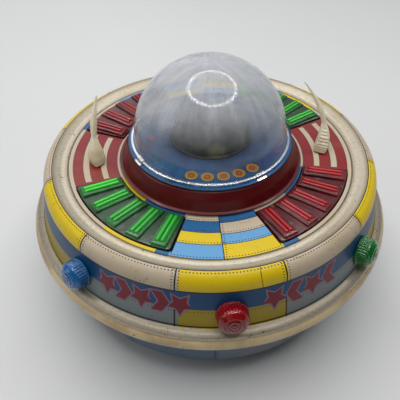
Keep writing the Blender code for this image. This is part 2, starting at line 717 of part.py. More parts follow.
def lamp_seat(angle):
    """Where a lamp meets the side band, and the turn that points its axis out of the band."""
    share = (LAMP_HEIGHT - BAND_FOOT[1]) / BAND_RISE
    radius = BAND_FOOT[0] - BAND_LEAN * share
    tilt = atan2(BAND_LEAN, BAND_RISE)
    point = Vector((radius * sin(angle), -radius * cos(angle), LAMP_HEIGHT))
    turn = Matrix.Rotation(angle, 4, "Z") @ Matrix.Rotation(pi / 2 - tilt, 4, "X")
    return point, turn


def make_lamp(place_name, angle, cap_finish, glass, socket_finish):
    """A moulded cap over a port in the band, and the lamp that pokes through the port."""
    point, turn = lamp_seat(angle)
    body = LAMP_LENGTH * LAMP_BODY_SHARE
    crown = LAMP_LENGTH - body
    shoulder = LAMP_RADIUS * LAMP_TAPER[1]
    outer = [(LAMP_RADIUS, GAP), (LAMP_RADIUS * LAMP_TAPER[0], body)]
    outer += arc((0, body), (shoulder, crown), 10, 90, 3)
    outer[-1] = (0.0, LAMP_LENGTH)
    inner = arc((0, body), (shoulder - LAMP_WALL, crown - LAMP_WALL), 90, 10, 3)
    inner[0] = (0.0, LAMP_LENGTH - LAMP_WALL)
    inner.append((LAMP_RADIUS - LAMP_WALL, GAP))
    cap = make_shell_dome(f"lamp_cap_{place_name}", outer + inner, cap_finish, PART_SIDES)
    place(cap, point, turn)
    tip = LAMP_LENGTH - LAMP_WALL - BULB_FRONT_GAP
    place(make_bulb(f"lamp_bulb_{place_name}", BULB_RADIUS, -BULB_REAR, tip, glass), point, turn)
    low, high = SOCKET_SPAN
    bore, wall = BULB_RADIUS + RUN, LAMP_PORT + SOCKET_WALL
    socket = turned(f"lamp_socket_{place_name}", [(bore, low), (wall, low), (wall, high), (bore, high)],
                    socket_finish, PART_SIDES)
    place(socket, point, turn)


# Drive unit, gears and motor

def make_chassis(metal):
    """An upside-down channel over the drive unit, with bearing holes for the hub and the beacon shaft."""
    w, t = CHASSIS_HALF_WIDTH, CHASSIS_PLATE
    back = BOX_FRONT - BOX_WALL - CHASSIS_BACK_GAP
    foot = FLOOR_LEVEL + GAP
    outline = [(-w, foot), (-w + t, foot), (-w + t, CHASSIS_TOP - t), (w - t, CHASSIS_TOP - t), (w - t, foot),
               (w, foot), (w, CHASSIS_TOP), (-w, CHASSIS_TOP)]
    loops = [[(x, y, z) for x, z in outline] for y in (CHASSIS_FRONT, back)]
    chassis = piece("chassis_channel", loops_to_mesh(loops, False), metal)
    holes = ((0.0, TURRET_Y, HUB_RADIUS + RUN), (0.0, BEACON_SHAFT_Y, SHAFT + RUN))
    for k, (x, y, radius) in enumerate(holes):
        hole = round_outline(radius, PART_SIDES, (x, y))
        cut(chassis, prism(f"chassis_hole_{k}", hole, CHASSIS_TOP - THROUGH, CHASSIS_TOP + THROUGH, None))
    return chassis


GEAR_PLATE_CORNERS = (
    (GEAR_PLATE_X[0], CHASSIS_FRONT + GEAR_PLATE_FRONT), (GEAR_PLATE_X[1], BEACON_SHAFT_Y + GEAR_PLATE_BACK),
)


def make_gear_plate(metal):
    (left, front), (right, back) = GEAR_PLATE_CORNERS
    top = GEAR_PLATE_LEVEL + GEAR_PLATE
    plate = block("gearbox_plate", (left, front, GEAR_PLATE_LEVEL), (right, back, top), metal)
    holes = ((0.0, TURRET_Y), (0.0, BEACON_SHAFT_Y), (MOTOR_X, TURRET_Y))
    for k, seat in enumerate(holes):
        hole = round_outline(SHAFT + RUN, PART_SIDES, seat)
        cut(plate, prism(f"plate_hole_{k}", hole, GEAR_PLATE_LEVEL - THROUGH, top + THROUGH, None))
    return plate


def make_gear_posts(metal):
    (left, front), (right, back) = GEAR_PLATE_CORNERS
    edge = POST_RADIUS + POST_EDGE
    seats = [(x, y) for y in (front + edge, back - edge) for x in (left + edge, right - edge)]
    low, high = CHASSIS_TOP + GAP, GEAR_PLATE_LEVEL - GAP
    return [prism(f"gearbox_post_{k + 1}", round_outline(POST_RADIUS, ROD_SIDES, seat), low, high, metal)
            for k, seat in enumerate(seats)]


def make_motor(metal, brass):
    """A motor can standing on the gearbox plate, its pinion hanging below."""
    seat = GEAR_PLATE_LEVEL + GEAR_PLATE + GAP
    top, bore_end = seat + MOTOR_LENGTH, seat + MOTOR_BORE
    outline = [(0.0, bore_end), (SHAFT + RUN, bore_end), (SHAFT + RUN, seat), (MOTOR_RADIUS, seat),
               (MOTOR_RADIUS, top), (0.0, top)]
    place(turned("motor_can", outline, metal, PART_SIDES), (MOTOR_X, TURRET_Y, 0.0))
    middle = (MOTOR_X, TURRET_Y)
    pinion = prism("motor_pinion", tooth_outline(MOTOR_TEETH, MOTOR_PINION_RADIUS, middle), GEAR_LEVEL,
                   GEAR_LEVEL + GEAR_WIDTH, brass)
    shaft = prism("motor_shaft", round_outline(SHAFT, ROD_SIDES, middle), GEAR_LEVEL + GEAR_WIDTH / 3,
                  seat + MOTOR_SHAFT, None)
    join(pinion, shaft)
    return pinion


def make_geared_shaft(name, y, gears, low, high, finish):
    """An upright shaft with its gears fixed on it: each gear is (teeth, underside, width)."""
    shaft = prism(name, round_outline(SHAFT, ROD_SIDES, (0, y)), low, high, finish)
    for k, (teeth, level, width) in enumerate(gears):
        outline = tooth_outline(teeth, teeth * MODULE / 2, (0, y))
        gear = prism(f"{name}_gear_{k}", outline, level, level + width, None)
        join(shaft, gear)
    return shaft


def make_turret(metal):
    """The swivelling frame: a round top plate, a hollow hub and two cheeks that carry the axle."""
    low, hub_top = TURRET_TOP - TURRET_PLATE, CHASSIS_TOP + HUB_STANDOUT
    bore = SHAFT + RUN
    outline = [(bore, low), (TURRET_RADIUS, low), (TURRET_RADIUS, TURRET_TOP), (HUB_RADIUS, TURRET_TOP),
               (HUB_RADIUS, hub_top), (bore, hub_top)]
    frame = turned("turret_frame", outline, metal, PART_SIDES)
    frame.location = (0.0, TURRET_Y, 0.0)
    front, back = TURRET_Y - CHEEK_HALF_LENGTH, TURRET_Y + CHEEK_HALF_LENGTH
    foot = DRIVE_WHEEL_RADIUS - CHEEK_DROP
    for side in (-1, 1):
        near, far = sorted((side * CHEEK_HALF_SPAN, side * (CHEEK_HALF_SPAN + CHEEK_THICKNESS)))
        join(frame, block(f"cheek_{side + 1}", (near, front, foot), (far, back, low + CHEEK_ROOT)))
    cut(frame, place(rod("axle_bore", bore, TURRET_RADIUS), (0, TURRET_Y, DRIVE_WHEEL_RADIUS), ALONG_X))
    return frame


def wheel_outline(side, inner, outer, rim):
    """A drive wheel's outline along its axle: a flat inner face, and a dish between rim and boss outside."""
    (edge, low_edge), (boss, boss_foot) = DISH_RIM, DISH_HUB
    floor = outer - DISH
    profile = [(SHAFT + GAP, inner), (rim, inner), (rim, outer), (rim - edge, outer), (rim - low_edge, floor),
               (SHAFT + boss_foot, floor), (SHAFT + boss, outer), (SHAFT + GAP, outer)]
    return [(r, side * x) for r, x in profile]


def make_drive_axle(metal, hub_finish, rubber):
    """Axle with its crown gear, and on each end a wheel with a rubber tyre."""
    centre = (0.0, TURRET_Y, DRIVE_WHEEL_RADIUS)
    inner = CHEEK_HALF_SPAN + CHEEK_THICKNESS + WHEEL_SIDE_PLAY
    outer = inner + DRIVE_WHEEL_WIDTH
    end = outer + AXLE_END
    axle = turned("drive_axle", [(0, -end), (SHAFT, -end), (SHAFT, end), (0, end)], metal, ROD_SIDES)
    level = LOW_PINION_RADIUS + 2 * GAP
    crown = prism("crown", tooth_outline(CROWN_TEETH, CROWN_RADIUS), level, level + CROWN_WIDTH, None)
    join(axle, crown)
    place(axle, centre, ALONG_X)
    crown.matrix_world = axle.matrix_world
    made = [axle]
    rim = DRIVE_WHEEL_RADIUS - TYRE_THICKNESS
    bore, edge, top = rim + GAP, DRIVE_WHEEL_RADIUS - TYRE_EDGE, DRIVE_WHEEL_RADIUS
    for side, word in ((-1, "left"), (1, "right")):
        wheel = turned(f"drive_wheel_{word}", wheel_outline(side, inner, outer, rim), hub_finish, PART_SIDES)
        low, high = sorted((side * inner, side * outer))
        band = [(bore, low), (edge, low), (top, low + TYRE_EDGE), (top, high - TYRE_EDGE), (edge, high),
                (bore, high)]
        tyre = turned(f"drive_tyre_{word}", band, rubber, PART_SIDES)
        made += [place(wheel, centre, ALONG_X), place(tyre, centre, ALONG_X)]
    return made


# Batteries and their box

def make_battery_box(finish):
    """A box open below, its walls standing on the pan round the battery port."""
    w, t = BOX_HALF_WIDTH, BOX_WALL
    foot = FLOOR_LEVEL + GAP
    box = block("battery_box", (-w - t, BOX_FRONT - t, foot), (w + t, BOX_BACK + t, BOX_TOP + t), finish)
    cut(box, block("box_room", (-w, BOX_FRONT, foot - THROUGH), (w, BOX_BACK, BOX_TOP)))


def make_cell(name, side, metal):
    """A round cell with its nub; the two lie head to tail."""
    half = (CELL_LENGTH + CELL_NUB) / 2
    radius, shoulder, edge = CELL_RADIUS, half - CELL_NUB, CELL_RADIUS - CELL_EDGE
    outline = [(0.0, -half), (edge, -half), (radius, -half + CELL_EDGE), (radius, shoulder - CELL_EDGE),
               (edge, shoulder), (CELL_NUB_RADIUS, shoulder), (CELL_NUB_RADIUS, half), (0.0, half)]
    cell = turned(name, outline, metal, PART_SIDES)
    seat = (side * (CELL_RADIUS + CELL_PLAY / 3), BOX_FRONT + CONTACT_ROOM + half, CELL_HEIGHT)
    place(cell, seat, ALONG_Y if side < 0 else ALONG_Y.inverted())


def make_contacts(brass):
    """A strip at each end of the box: the front one joins the cells, the back ones lead out."""
    low, high = CELL_HEIGHT - CONTACT_HALF_HEIGHT, CELL_HEIGHT + CONTACT_HALF_HEIGHT
    front, back = BOX_FRONT + GAP, BOX_BACK - GAP
    reach = CELL_RADIUS + CONTACT_HALF_WIDTH
    block("contact_front", (-reach, front, low), (reach, front + CONTACT_THICKNESS, high), brass)
    for side, word in ((-1, "left"), (1, "right")):
        x = side * CELL_RADIUS
        block(f"contact_back_{word}", (x - CONTACT_HALF_WIDTH, back - CONTACT_THICKNESS, low),
              (x + CONTACT_HALF_WIDTH, back, high), brass)


def make_battery_door(finish):
    """A flush plate hinged along the back of the battery port, with a finger tab in front."""
    w = BOX_HALF_WIDTH - DOOR_PLAY
    front, back = BOX_FRONT + DOOR_PLAY, BOX_BACK - DOOR_PLAY
    door = block("battery_door", (-w, front, HULL_FLOOR), (w, back, FLOOR_LEVEL), finish)
    half, length, standout = DOOR_TAB
    start = front + DOOR_TAB_SETBACK
    join(door, block("door_tab", (-half, start, HULL_FLOOR - standout), (half, start + length, FLOOR_LEVEL)))
    return door


def make_rear_wheels(metal, hub_finish):
    """A plain axle through two brackets, with a free wheel fixed on each end."""
    centre = (0.0, REAR_AXLE_Y, REAR_WHEEL_RADIUS)
    half, radius, top = REAR_WHEEL_WIDTH / 2, REAR_AXLE_RADIUS, REAR_WHEEL_RADIUS
    reach = REAR_TRACK + half + REAR_AXLE_END
    axle = turned("rear_axle", [(0, -reach), (radius, -reach), (radius, reach), (0, reach)], metal, ROD_SIDES)
    rolling = [place(axle, centre, ALONG_X)]
    for side, word in ((-1, "left"), (1, "right")):
        low, high = side * REAR_TRACK - half, side * REAR_TRACK + half
        bore, edge = radius + GAP, top - REAR_EDGE
        outline = [(bore, low), (edge, low), (top, low + REAR_EDGE), (top, high - REAR_EDGE), (edge, high),
                   (bore, high)]
        wheel = turned(f"rear_wheel_{word}", outline, hub_finish, PART_SIDES)
        rolling.append(place(wheel, centre, ALONG_X))
        inner = REAR_TRACK - half - BRACKET_OFFSET
        near, far = sorted((side * inner, side * (inner - BRACKET_THICKNESS)))
        bracket = block(f"rear_bracket_{word}", (near, REAR_AXLE_Y - BRACKET_HALF_LENGTH, FLOOR_LEVEL + GAP),
                        (far, REAR_AXLE_Y + BRACKET_HALF_LENGTH, REAR_WHEEL_RADIUS + BRACKET_RISE), metal)
        cut(bracket, place(rod(f"bracket_bore_{word}", radius + RUN, REAR_TRACK), centre, ALONG_X))
    return rolling


def make_switch(finish, metal):
    """A sliding knob in a slot of the pan, held by a shoe above it, under a small housing."""
    half_w, half_l = SWITCH_WIDTH / 2, SWITCH_LENGTH / 2
    rest = -SWITCH_TRAVEL / 2
    front, back = rest - half_l, rest + half_l
    knob = block("switch_knob", (SWITCH_X - half_w, front, HULL_FLOOR - SWITCH_STANDOUT),
                 (SWITCH_X + half_w, back, HULL_FLOOR - GAP), finish)
    shoe_low = FLOOR_LEVEL + GAP
    stem = SWITCH_STEM_HALF_LENGTH
    join(knob, block("switch_stem", (SWITCH_X - SWITCH_STEM, rest - stem, HULL_FLOOR - SHEET),
                     (SWITCH_X + SWITCH_STEM, rest + stem, shoe_low + SWITCH_SHOE / 2)))
    join(knob, block("switch_shoe", (SWITCH_X - half_w, front, shoe_low),
                     (SWITCH_X + half_w, back, shoe_low + SWITCH_SHOE)))
    half_room, reach = half_w + SHEET, SWITCH_TRAVEL / 2 + half_l + SWITCH_END_PLAY
    wall, high = SWITCH_CASE, FLOOR_LEVEL + SWITCH_ROOM
    house = block("switch_housing", (SWITCH_X - half_room - wall, -reach - wall, shoe_low),
                  (SWITCH_X + half_room + wall, reach + wall, high), metal)
    cut(house, block("switch_room", (SWITCH_X - half_room, -reach, shoe_low - THROUGH),
                     (SWITCH_X + half_room, reach, high - wall)))
    return knob


def build():
    clear_scene()
    print_blue = material("printed_tin_band", (0.08, 0.22, 0.42), 0.35, 0.2)
    ivory = material("aged_ivory_rim", (0.72, 0.66, 0.52), 0.45, 0.1)
    pale = material("pale_grey_tin", (0.50, 0.58, 0.62), 0.40, 0.3)
    deck_print = material("printed_tin_deck", (0.70, 0.66, 0.58), 0.35, 0.2)
    green = material("green_clear_plastic", (0.03, 0.42, 0.12), 0.15, 0.0, 0.7)
    red = material("red_clear_plastic", (0.50, 0.02, 0.03), 0.15, 0.0, 0.7)
    blue = material("blue_clear_plastic", (0.02, 0.25, 0.55), 0.15, 0.0, 0.7)
    oxblood = material("dark_red_tin", (0.24, 0.02, 0.025), 0.30, 0.2)
    cockpit_blue = material("blue_printed_tin", (0.06, 0.18, 0.40), 0.35, 0.2)
    clear = material("clear_dome_plastic", (0.90, 0.92, 0.92), 0.08, 0.0, 0.2)
    smoke = material("smoked_green_plastic", (0.05, 0.08, 0.06), 0.12, 0.0, 0.7)
    horn = material("ivory_plastic", (0.78, 0.70, 0.54), 0.40)
    steel = material("plated_steel", (0.62, 0.63, 0.64), 0.35, 0.9)
    brass = material("brass", (0.70, 0.52, 0.22), 0.35, 0.9)
    nylon = material("white_nylon", (0.80, 0.80, 0.76), 0.50)
    rubber = material("black_rubber", (0.03, 0.03, 0.03), 0.80)
    black = material("black_plastic", (0.03, 0.03, 0.03), 0.50)
    cell_skin = material("cell_jacket", (0.10, 0.24, 0.16), 0.35, 0.3)
    glass = material("bulb_glass", (0.85, 0.85, 0.80), 0.10, 0.0, 0.5)
    mirror = material("bright_plated_plastic", (0.80, 0.80, 0.82), 0.12, 0.9)

    make_upper_hull(print_blue)
    make_rim_bead(ivory)
    make_lower_hull(pale)
    make_deck(deck_print)
    tints = {"front_left": green, "front_right": red, "back_right": green, "back_left": red}
    for place_name, angles in window_spans().items():
        make_louvre_panel(place_name, angles, tints[place_name])
    for name, side, lean in (("antenna_left", -1, ANTENNA_LEANS[0]), ("antenna_right", 1, ANTENNA_LEANS[1])):
        make_antenna(name, side, lean, horn)

    make_collar(oxblood)
    make_cockpit_floor(cockpit_blue)
    bell = dome_outline(DOME_RADIUS, DOME_RADIUS, DOME_WALL, DOME_STRAIGHT, FLANGE_WIDTH, 7)
    make_shell_dome("dome", bell, clear, RING_SIDES)
    lens = dome_outline(LENS_RADIUS, LENS_RISE, LENS_WALL, LENS_STRAIGHT, LENS_FLANGE, 4)
    make_shell_dome("beacon_lens", lens, smoke, PART_SIDES)
    rotor = make_beacon_parts(steel, mirror, glass)

    for place_name, angle, tint in zip(("left", "front", "right"), LAMP_ANGLES, (blue, red, green)):
        make_lamp(place_name, angle, tint, glass, black)

    make_chassis(steel)
    make_gear_plate(steel)
    make_gear_posts(steel)
    pinion = make_motor(steel, brass)
    crown_top = DRIVE_WHEEL_RADIUS + CROWN_RADIUS
    low = crown_top - LOW_PINION_OVERLAP
    wheels = ((MAIN_TEETH, GEAR_LEVEL, GEAR_WIDTH), (LOW_PINION_TEETH, low, LOW_PINION_WIDTH))
    main = make_geared_shaft("main_gear", TURRET_Y, wheels, low - GAP,
                             GEAR_PLATE_LEVEL + GEAR_PLATE + SHAFT_STANDOUT, nylon)
    wheels = ((BEACON_TEETH, GEAR_LEVEL, GEAR_WIDTH), (BEACON_PINION_TEETH, ROTOR_LEVEL, GEAR_WIDTH))
    beacon_shaft = make_geared_shaft("beacon_gear", BEACON_SHAFT_Y, wheels, CHASSIS_TOP - SHAFT_STANDOUT,
                                     ROTOR_LEVEL + GEAR_WIDTH, nylon)
    turret = make_turret(steel)
    axle_parts = make_drive_axle(steel, nylon, rubber)
    make_battery_box(black)
    make_cell("cell_left", -1, cell_skin)
    make_cell("cell_right", 1, cell_skin)
    make_contacts(brass)
    door = make_battery_door(pale)
    rolling = make_rear_wheels(steel, black)
    make_switch(black, steel)

    pivot("turret_swivel", (0, TURRET_Y, TURRET_TOP), [turret])
    pivot("drive_axis", (0, TURRET_Y, DRIVE_WHEEL_RADIUS), axle_parts[1:])
    pivot("motor_axis", (MOTOR_X, TURRET_Y, GEAR_LEVEL), [pinion])
    pivot("main_axis", (0, TURRET_Y, GEAR_LEVEL), [main])
    pivot("beacon_shaft_axis", (0, BEACON_SHAFT_Y, GEAR_LEVEL), [beacon_shaft])
    pivot("rotor_axis", (0, 0, ROTOR_LEVEL), [rotor])
    pivot("rear_axis", (0, REAR_AXLE_Y, REAR_WHEEL_RADIUS), rolling[1:])
    pivot("door_hinge", (0, BOX_BACK - DOOR_PLAY, HULL_FLOOR), [door])


build()
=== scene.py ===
"""The looks of a tin-plate flying-saucer toy: printed hull and deck, louvred windows, dome, lamps and horns.

Lengths are in metres unless a name says mm. A turn is counted in degrees from the toy's front, -Y, and grows
towards its right, +X.
"""

import bmesh
import bpy
import numpy as np
from mathutils import Matrix, Vector


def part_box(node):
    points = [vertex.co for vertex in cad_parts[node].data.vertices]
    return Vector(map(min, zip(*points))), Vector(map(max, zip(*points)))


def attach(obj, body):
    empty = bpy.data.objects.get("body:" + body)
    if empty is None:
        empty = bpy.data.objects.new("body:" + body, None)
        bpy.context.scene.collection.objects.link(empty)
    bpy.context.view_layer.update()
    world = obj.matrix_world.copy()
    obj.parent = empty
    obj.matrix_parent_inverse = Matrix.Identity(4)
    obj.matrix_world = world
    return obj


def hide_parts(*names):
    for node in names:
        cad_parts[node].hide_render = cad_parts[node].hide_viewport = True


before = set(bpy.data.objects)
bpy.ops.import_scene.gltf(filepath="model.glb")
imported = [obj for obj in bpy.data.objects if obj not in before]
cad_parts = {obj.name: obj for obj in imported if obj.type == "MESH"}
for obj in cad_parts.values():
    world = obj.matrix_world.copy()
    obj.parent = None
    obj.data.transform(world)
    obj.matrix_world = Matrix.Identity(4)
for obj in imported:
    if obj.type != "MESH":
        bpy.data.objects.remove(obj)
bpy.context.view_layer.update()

MM = 0.001
TURN = np.radians
SIDES = 192
PATCH_STEPS = 40
DEGREE = np.pi / 180.0


# Places, all read from the CAD model

def spread(node):
    """Outer radius, lowest and highest point of a node that is turned about Z."""
    low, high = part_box(node)
    return high.x, low.z, high.z


def middle(node):
    low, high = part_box(node)
    return (low + high) / 2


SKIRT_R, SKIRT_LOW, _ = spread("upper_hull")
RIM_R, RIM_LOW, RIM_TOP = spread("rim_bead")
PAN_R, PAN_LOW, PAN_TOP = spread("lower_hull")
DECK_R, _, DECK_TOP = spread("deck_plate")
COLLAR_R, COLLAR_LOW, COLLAR_TOP = spread("collar_ring")
SEAT_R, SEAT_LOW, SEAT_TOP = spread("cockpit_floor")
FLANGE_R, DOME_LOW, DOME_TOP = spread("dome")
LENS_R, LENS_LOW, LENS_TOP = spread("beacon_lens")
SHEET = SEAT_TOP - SEAT_LOW
DECK_BORE, DECK_FOOT_R, DECK_DROP = 49.5 * MM, 51.4 * MM, 3.0 * MM

FOOT_R, FOOT_Z = SKIRT_R - 4.8 * MM, SKIRT_LOW + 2.7 * MM
BAND_R, BAND_Z = FOOT_R - 5.2 * MM, FOOT_Z + 21.1 * MM
CROWN_R, CROWN_Z = BAND_R - 6.3 * MM, BAND_Z + 7.7 * MM
LAMP_Z = 66.0 * MM
LAMP_TURNS = {"left": -45.0, "front": 0.0, "right": 45.0}
FRONT_HALF, SIDE_FIRST, SIDE_LAST, BACK_FIRST = 18.5, 70.0, 108.0, 159.5
WINDOWS = {
    "front_left": (-SIDE_FIRST, -FRONT_HALF), "front_right": (FRONT_HALF, SIDE_FIRST),
    "back_right": (SIDE_LAST, BACK_FIRST), "back_left": (-BACK_FIRST, -SIDE_LAST),
}
HORN_R, HORN_FORWARD = 65.3 * MM, 5.5
DRIVE_PORT_R = 29.5 * MM
WINDOW_R = (COLLAR_R + 1.2 * MM, DECK_R - 2.2 * MM)


def deck_height(radius):
    """The deck's upper side falls straight from its edge towards the collar."""
    return DECK_TOP - DECK_DROP * (DECK_R - radius) / (DECK_R - DECK_FOOT_R)


# Lines and surfaces

def eased(points, ease, closed=False, steps=5):
    """A line with rounded corners. A corner P between unit directions a and b becomes the parabola
    (1-s)^2 (P + t a) + 2 s (1-s) P + s^2 (P + t b); t is the ease, at most 0.46 of the shorter side."""
    p = np.asarray(points, float)
    to_a, to_b = np.roll(p, 1, 0) - p, np.roll(p, -1, 0) - p
    long_a = np.linalg.norm(to_a, axis=1, keepdims=True) + 1e-12
    long_b = np.linalg.norm(to_b, axis=1, keepdims=True) + 1e-12
    t = np.broadcast_to(np.asarray(ease, float).reshape(-1, 1), (len(p), 1))
    t = np.minimum(t, 0.46 * np.minimum(long_a, long_b))
    if not closed:
        t = t.copy()
        t[[0, -1]] = 0.0
    s = np.linspace(0.0, 1.0, steps + 1)[None, :, None]
    start, end = p + to_a / long_a * t, p + to_b / long_b * t
    line = (1 - s) ** 2 * start[:, None] + 2 * s * (1 - s) * p[:, None] + s ** 2 * end[:, None]
    line = line.reshape(-1, p.shape[1])
    step = np.linalg.norm(line - np.roll(line, 1, 0), axis=1)
    step[0] = 1.0 if not closed else step[0]
    return line[step > 1e-7]


def ellipse(centre, radii, first, last, steps):
    """Points (cx + rx cos a, cy + ry sin a), a going from first to last degrees."""
    a = TURN(np.linspace(first, last, steps + 1))
    return np.stack([centre[0] + radii[0] * np.cos(a), centre[1] + radii[1] * np.sin(a)], 1)


def beside(line, distance):
    """The same line moved along its left-hand normal by a distance."""
    p = np.asarray(line, float)
    along = np.gradient(p, axis=0)
    along /= np.linalg.norm(along, axis=1, keepdims=True)
    return p + distance * np.stack([-along[:, 1], along[:, 0]], 1)


def sheet_loop(line, thickness):
    """A closed outline of bent sheet: a line and the same line beside it, run back."""
    return np.vstack([line, beside(line, thickness)[::-1]])


def skin(name, grid, finish, wrap=(False, True), caps=False, sharp=38.0):
    """A mesh over a grid of points, one four-sided face a cell. A wrapped direction joins its last line to
    its first. Doubled points are merged and faces turned outwards."""
    rows, columns = grid.shape[:2]
    i = np.arange(rows if wrap[0] else rows - 1)[:, None]
    j = np.arange(columns if wrap[1] else columns - 1)[None, :]
    below, beyond = (i + 1) % rows, (j + 1) % columns
    faces = np.stack([i * columns + j, i * columns + beyond, below * columns + beyond, below * columns + j],
                     -1).reshape(-1, 4).tolist()
    if caps:
        faces += [list(range(columns)), list(range((rows - 1) * columns, rows * columns))]
    data = bpy.data.meshes.new(name)
    data.from_pydata(grid.reshape(-1, 3).tolist(), [], faces)
    work = bmesh.new()
    work.from_mesh(data)
    bmesh.ops.remove_doubles(work, verts=work.verts[:], dist=2e-7)
    bmesh.ops.dissolve_degenerate(work, edges=work.edges[:], dist=1e-7)
    bmesh.ops.recalc_face_normals(work, faces=work.faces[:])
    work.to_mesh(data)
    work.free()
    data.shade_smooth()
    data.set_sharp_from_angle(angle=TURN(sharp))
    if finish is not None:
        data.materials.append(finish.material)
    return linked(name, data)


def linked(name, data):
    """Makes an object of a mesh, lamp or camera and puts it in the scene."""
    made = bpy.data.objects.new(name, data)
    bpy.context.scene.collection.objects.link(made)
    return made


def around(sides):
    return TURN(np.arange(sides) * 360.0 / sides)


def turned_grid(line, sides=SIDES):
    """Point (r, z) of a line at turn a is (r sin a, -r cos a, z)."""
    a = around(sides)[None, :]
    r, z = line[:, :1], line[:, 1:]
    return np.stack([r * np.sin(a), -r * np.cos(a), z + 0 * a], -1)


def turned(name, line, finish, closed=True, sides=SIDES, sharp=38.0):
    """A surface of revolution about Z from an (r, z) line, closed into a loop or ended on the axis."""
    return skin(name, turned_grid(np.asarray(line, float), sides), finish, (closed, True), sharp=sharp)


def seated(made, matrix):
    """Puts a piece's place into its mesh, so that its object stays at the origin."""
    made.data.transform(matrix)
    return made


def joined(name, parts):
    """Several meshes as one object, keeping each one's material."""
    data = parts[0].data
    work = bmesh.new()
    finishes = []
    for part in parts:
        shift = len(finishes)
        finishes += list(part.data.materials)
        old = len(work.faces)
        work.from_mesh(part.data)
        work.faces.ensure_lookup_table()
        for face in work.faces[old:]:
            face.material_index += shift
    work.to_mesh(data)
    work.free()
    data.materials.clear()
    for finish in finishes:
        data.materials.append(finish)
    for part in parts[1:]:
        bpy.data.objects.remove(part)
    parts[0].name = name
    return parts[0]


def carved(made, cutters, sharp=38.0):
    """Cuts shapes out of a piece with exact Booleans and keeps the plain mesh that results."""
    for cutter in cutters:
        step = made.modifiers.new("cut", "BOOLEAN")
        step.solver = "EXACT"
        step.object = cutter
    bpy.context.view_layer.update()
    data = bpy.data.meshes.new_from_object(made.evaluated_get(bpy.context.evaluated_depsgraph_get()))
    made.modifiers.clear()
    made.data = data
    for cutter in cutters:
        bpy.data.objects.remove(cutter)
    data.shade_smooth()
    data.set_sharp_from_angle(angle=TURN(sharp))
    return made


def prism(name, outline, low, high):
    """An (x, y) outline carried straight up from one height to another."""
    flat = np.asarray(outline, float)
    grid = np.stack([np.column_stack([flat, np.full(len(flat), z)]) for z in (low, high)])
    return skin(name, grid, None, caps=True)


def deck_outline(turns, radii, round_mm):
    """Outline of a patch of the deck's ring in (turn, radius), with rounded corners. The corners are eased
    in millimetres along the ring and the radius, then each long side gets its steps."""
    mean = sum(radii) / 2
    wide = TURN(turns[1] - turns[0]) * mean
    corners = [(0, radii[0]), (wide, radii[0]), (wide, radii[1]), (0, radii[1])]
    line = eased(corners, round_mm * MM, closed=True, steps=6)
    dense = []
    for a, b in zip(line, np.roll(line, -1, 0)):
        count = max(1, int(np.ceil(abs(b[0] - a[0]) / wide * PATCH_STEPS)))
        dense.append(a + (b - a) * (np.arange(count) / count)[:, None])
    line = np.vstack(dense)
    return np.column_stack([turns[0] + np.degrees(line[:, 0] / mean), line[:, 1]])


def deck_patch(name, turns, radii, low, high, finish=None, round_mm=1.6, bevel=0.0):
    """A patch of the deck's ring, low and high being heights over the deck. Its top edge is eased by
    stacking loops: at each, the outline is drawn in by bevel (1 - cos a) and raised by bevel sin a."""
    outline = deck_outline(turns, radii, round_mm)
    centre = np.array([sum(turns) / 2, sum(radii) / 2])
    stack = [(0.0, low)]
    if bevel:
        for a in TURN(np.linspace(0, 90, 5)):
            stack.append((bevel * (1 - np.cos(a)), high - bevel + bevel * np.sin(a)))
    else:
        stack.append((0.0, high))
    half = np.array([(turns[1] - turns[0]) / 2, (radii[1] - radii[0]) / 2])
    loops = []
    for inset, height in stack:
        shrink = 1 - inset / np.array([TURN(half[0]) * centre[1], half[1]])
        t, r = (centre + (outline - centre) * shrink).T
        loops.append(on_deck(t, r, height))
    return skin(name, np.stack(loops), finish, caps=True)


def on_deck(turn, radius, over):
    """The point at a turn and radius, a height over the deck's slope."""
    a = TURN(turn)
    return np.stack([radius * np.sin(a), -radius * np.cos(a), deck_height(radius) + over + 0 * a], -1)


# Finishes

def srgb(red, green, blue):
    """A display colour, 0 to 255, as linear light."""
    c = np.array([red, green, blue]) / 255.0
    return tuple(np.where(c <= 0.04045, c / 12.92, ((c + 0.055) / 1.055) ** 2.4).tolist()) + (1.0,)


class Wire:
    """One output in a finish's node tree. Sums, products and comparisons on it add Math nodes."""

    def __init__(self, finish, socket):
        self.finish, self.socket = finish, socket


OPERATIONS = {
    "add": "ADD", "radd": "ADD", "sub": "SUBTRACT", "mul": "MULTIPLY", "rmul": "MULTIPLY",
    "truediv": "DIVIDE", "lt": "LESS_THAN", "gt": "GREATER_THAN", "and": "MINIMUM", "or": "MAXIMUM",
    "abs": "ABSOLUTE", "pow": "POWER", "mod": "FLOORED_MODULO",
}
for sign, operation in OPERATIONS.items():
    setattr(Wire, f"__{sign}__", lambda wire, *other, kind=operation: wire.finish.maths(kind, wire, *other))
Wire.__rsub__ = lambda wire, other: wire.finish.maths("SUBTRACT", other, wire)


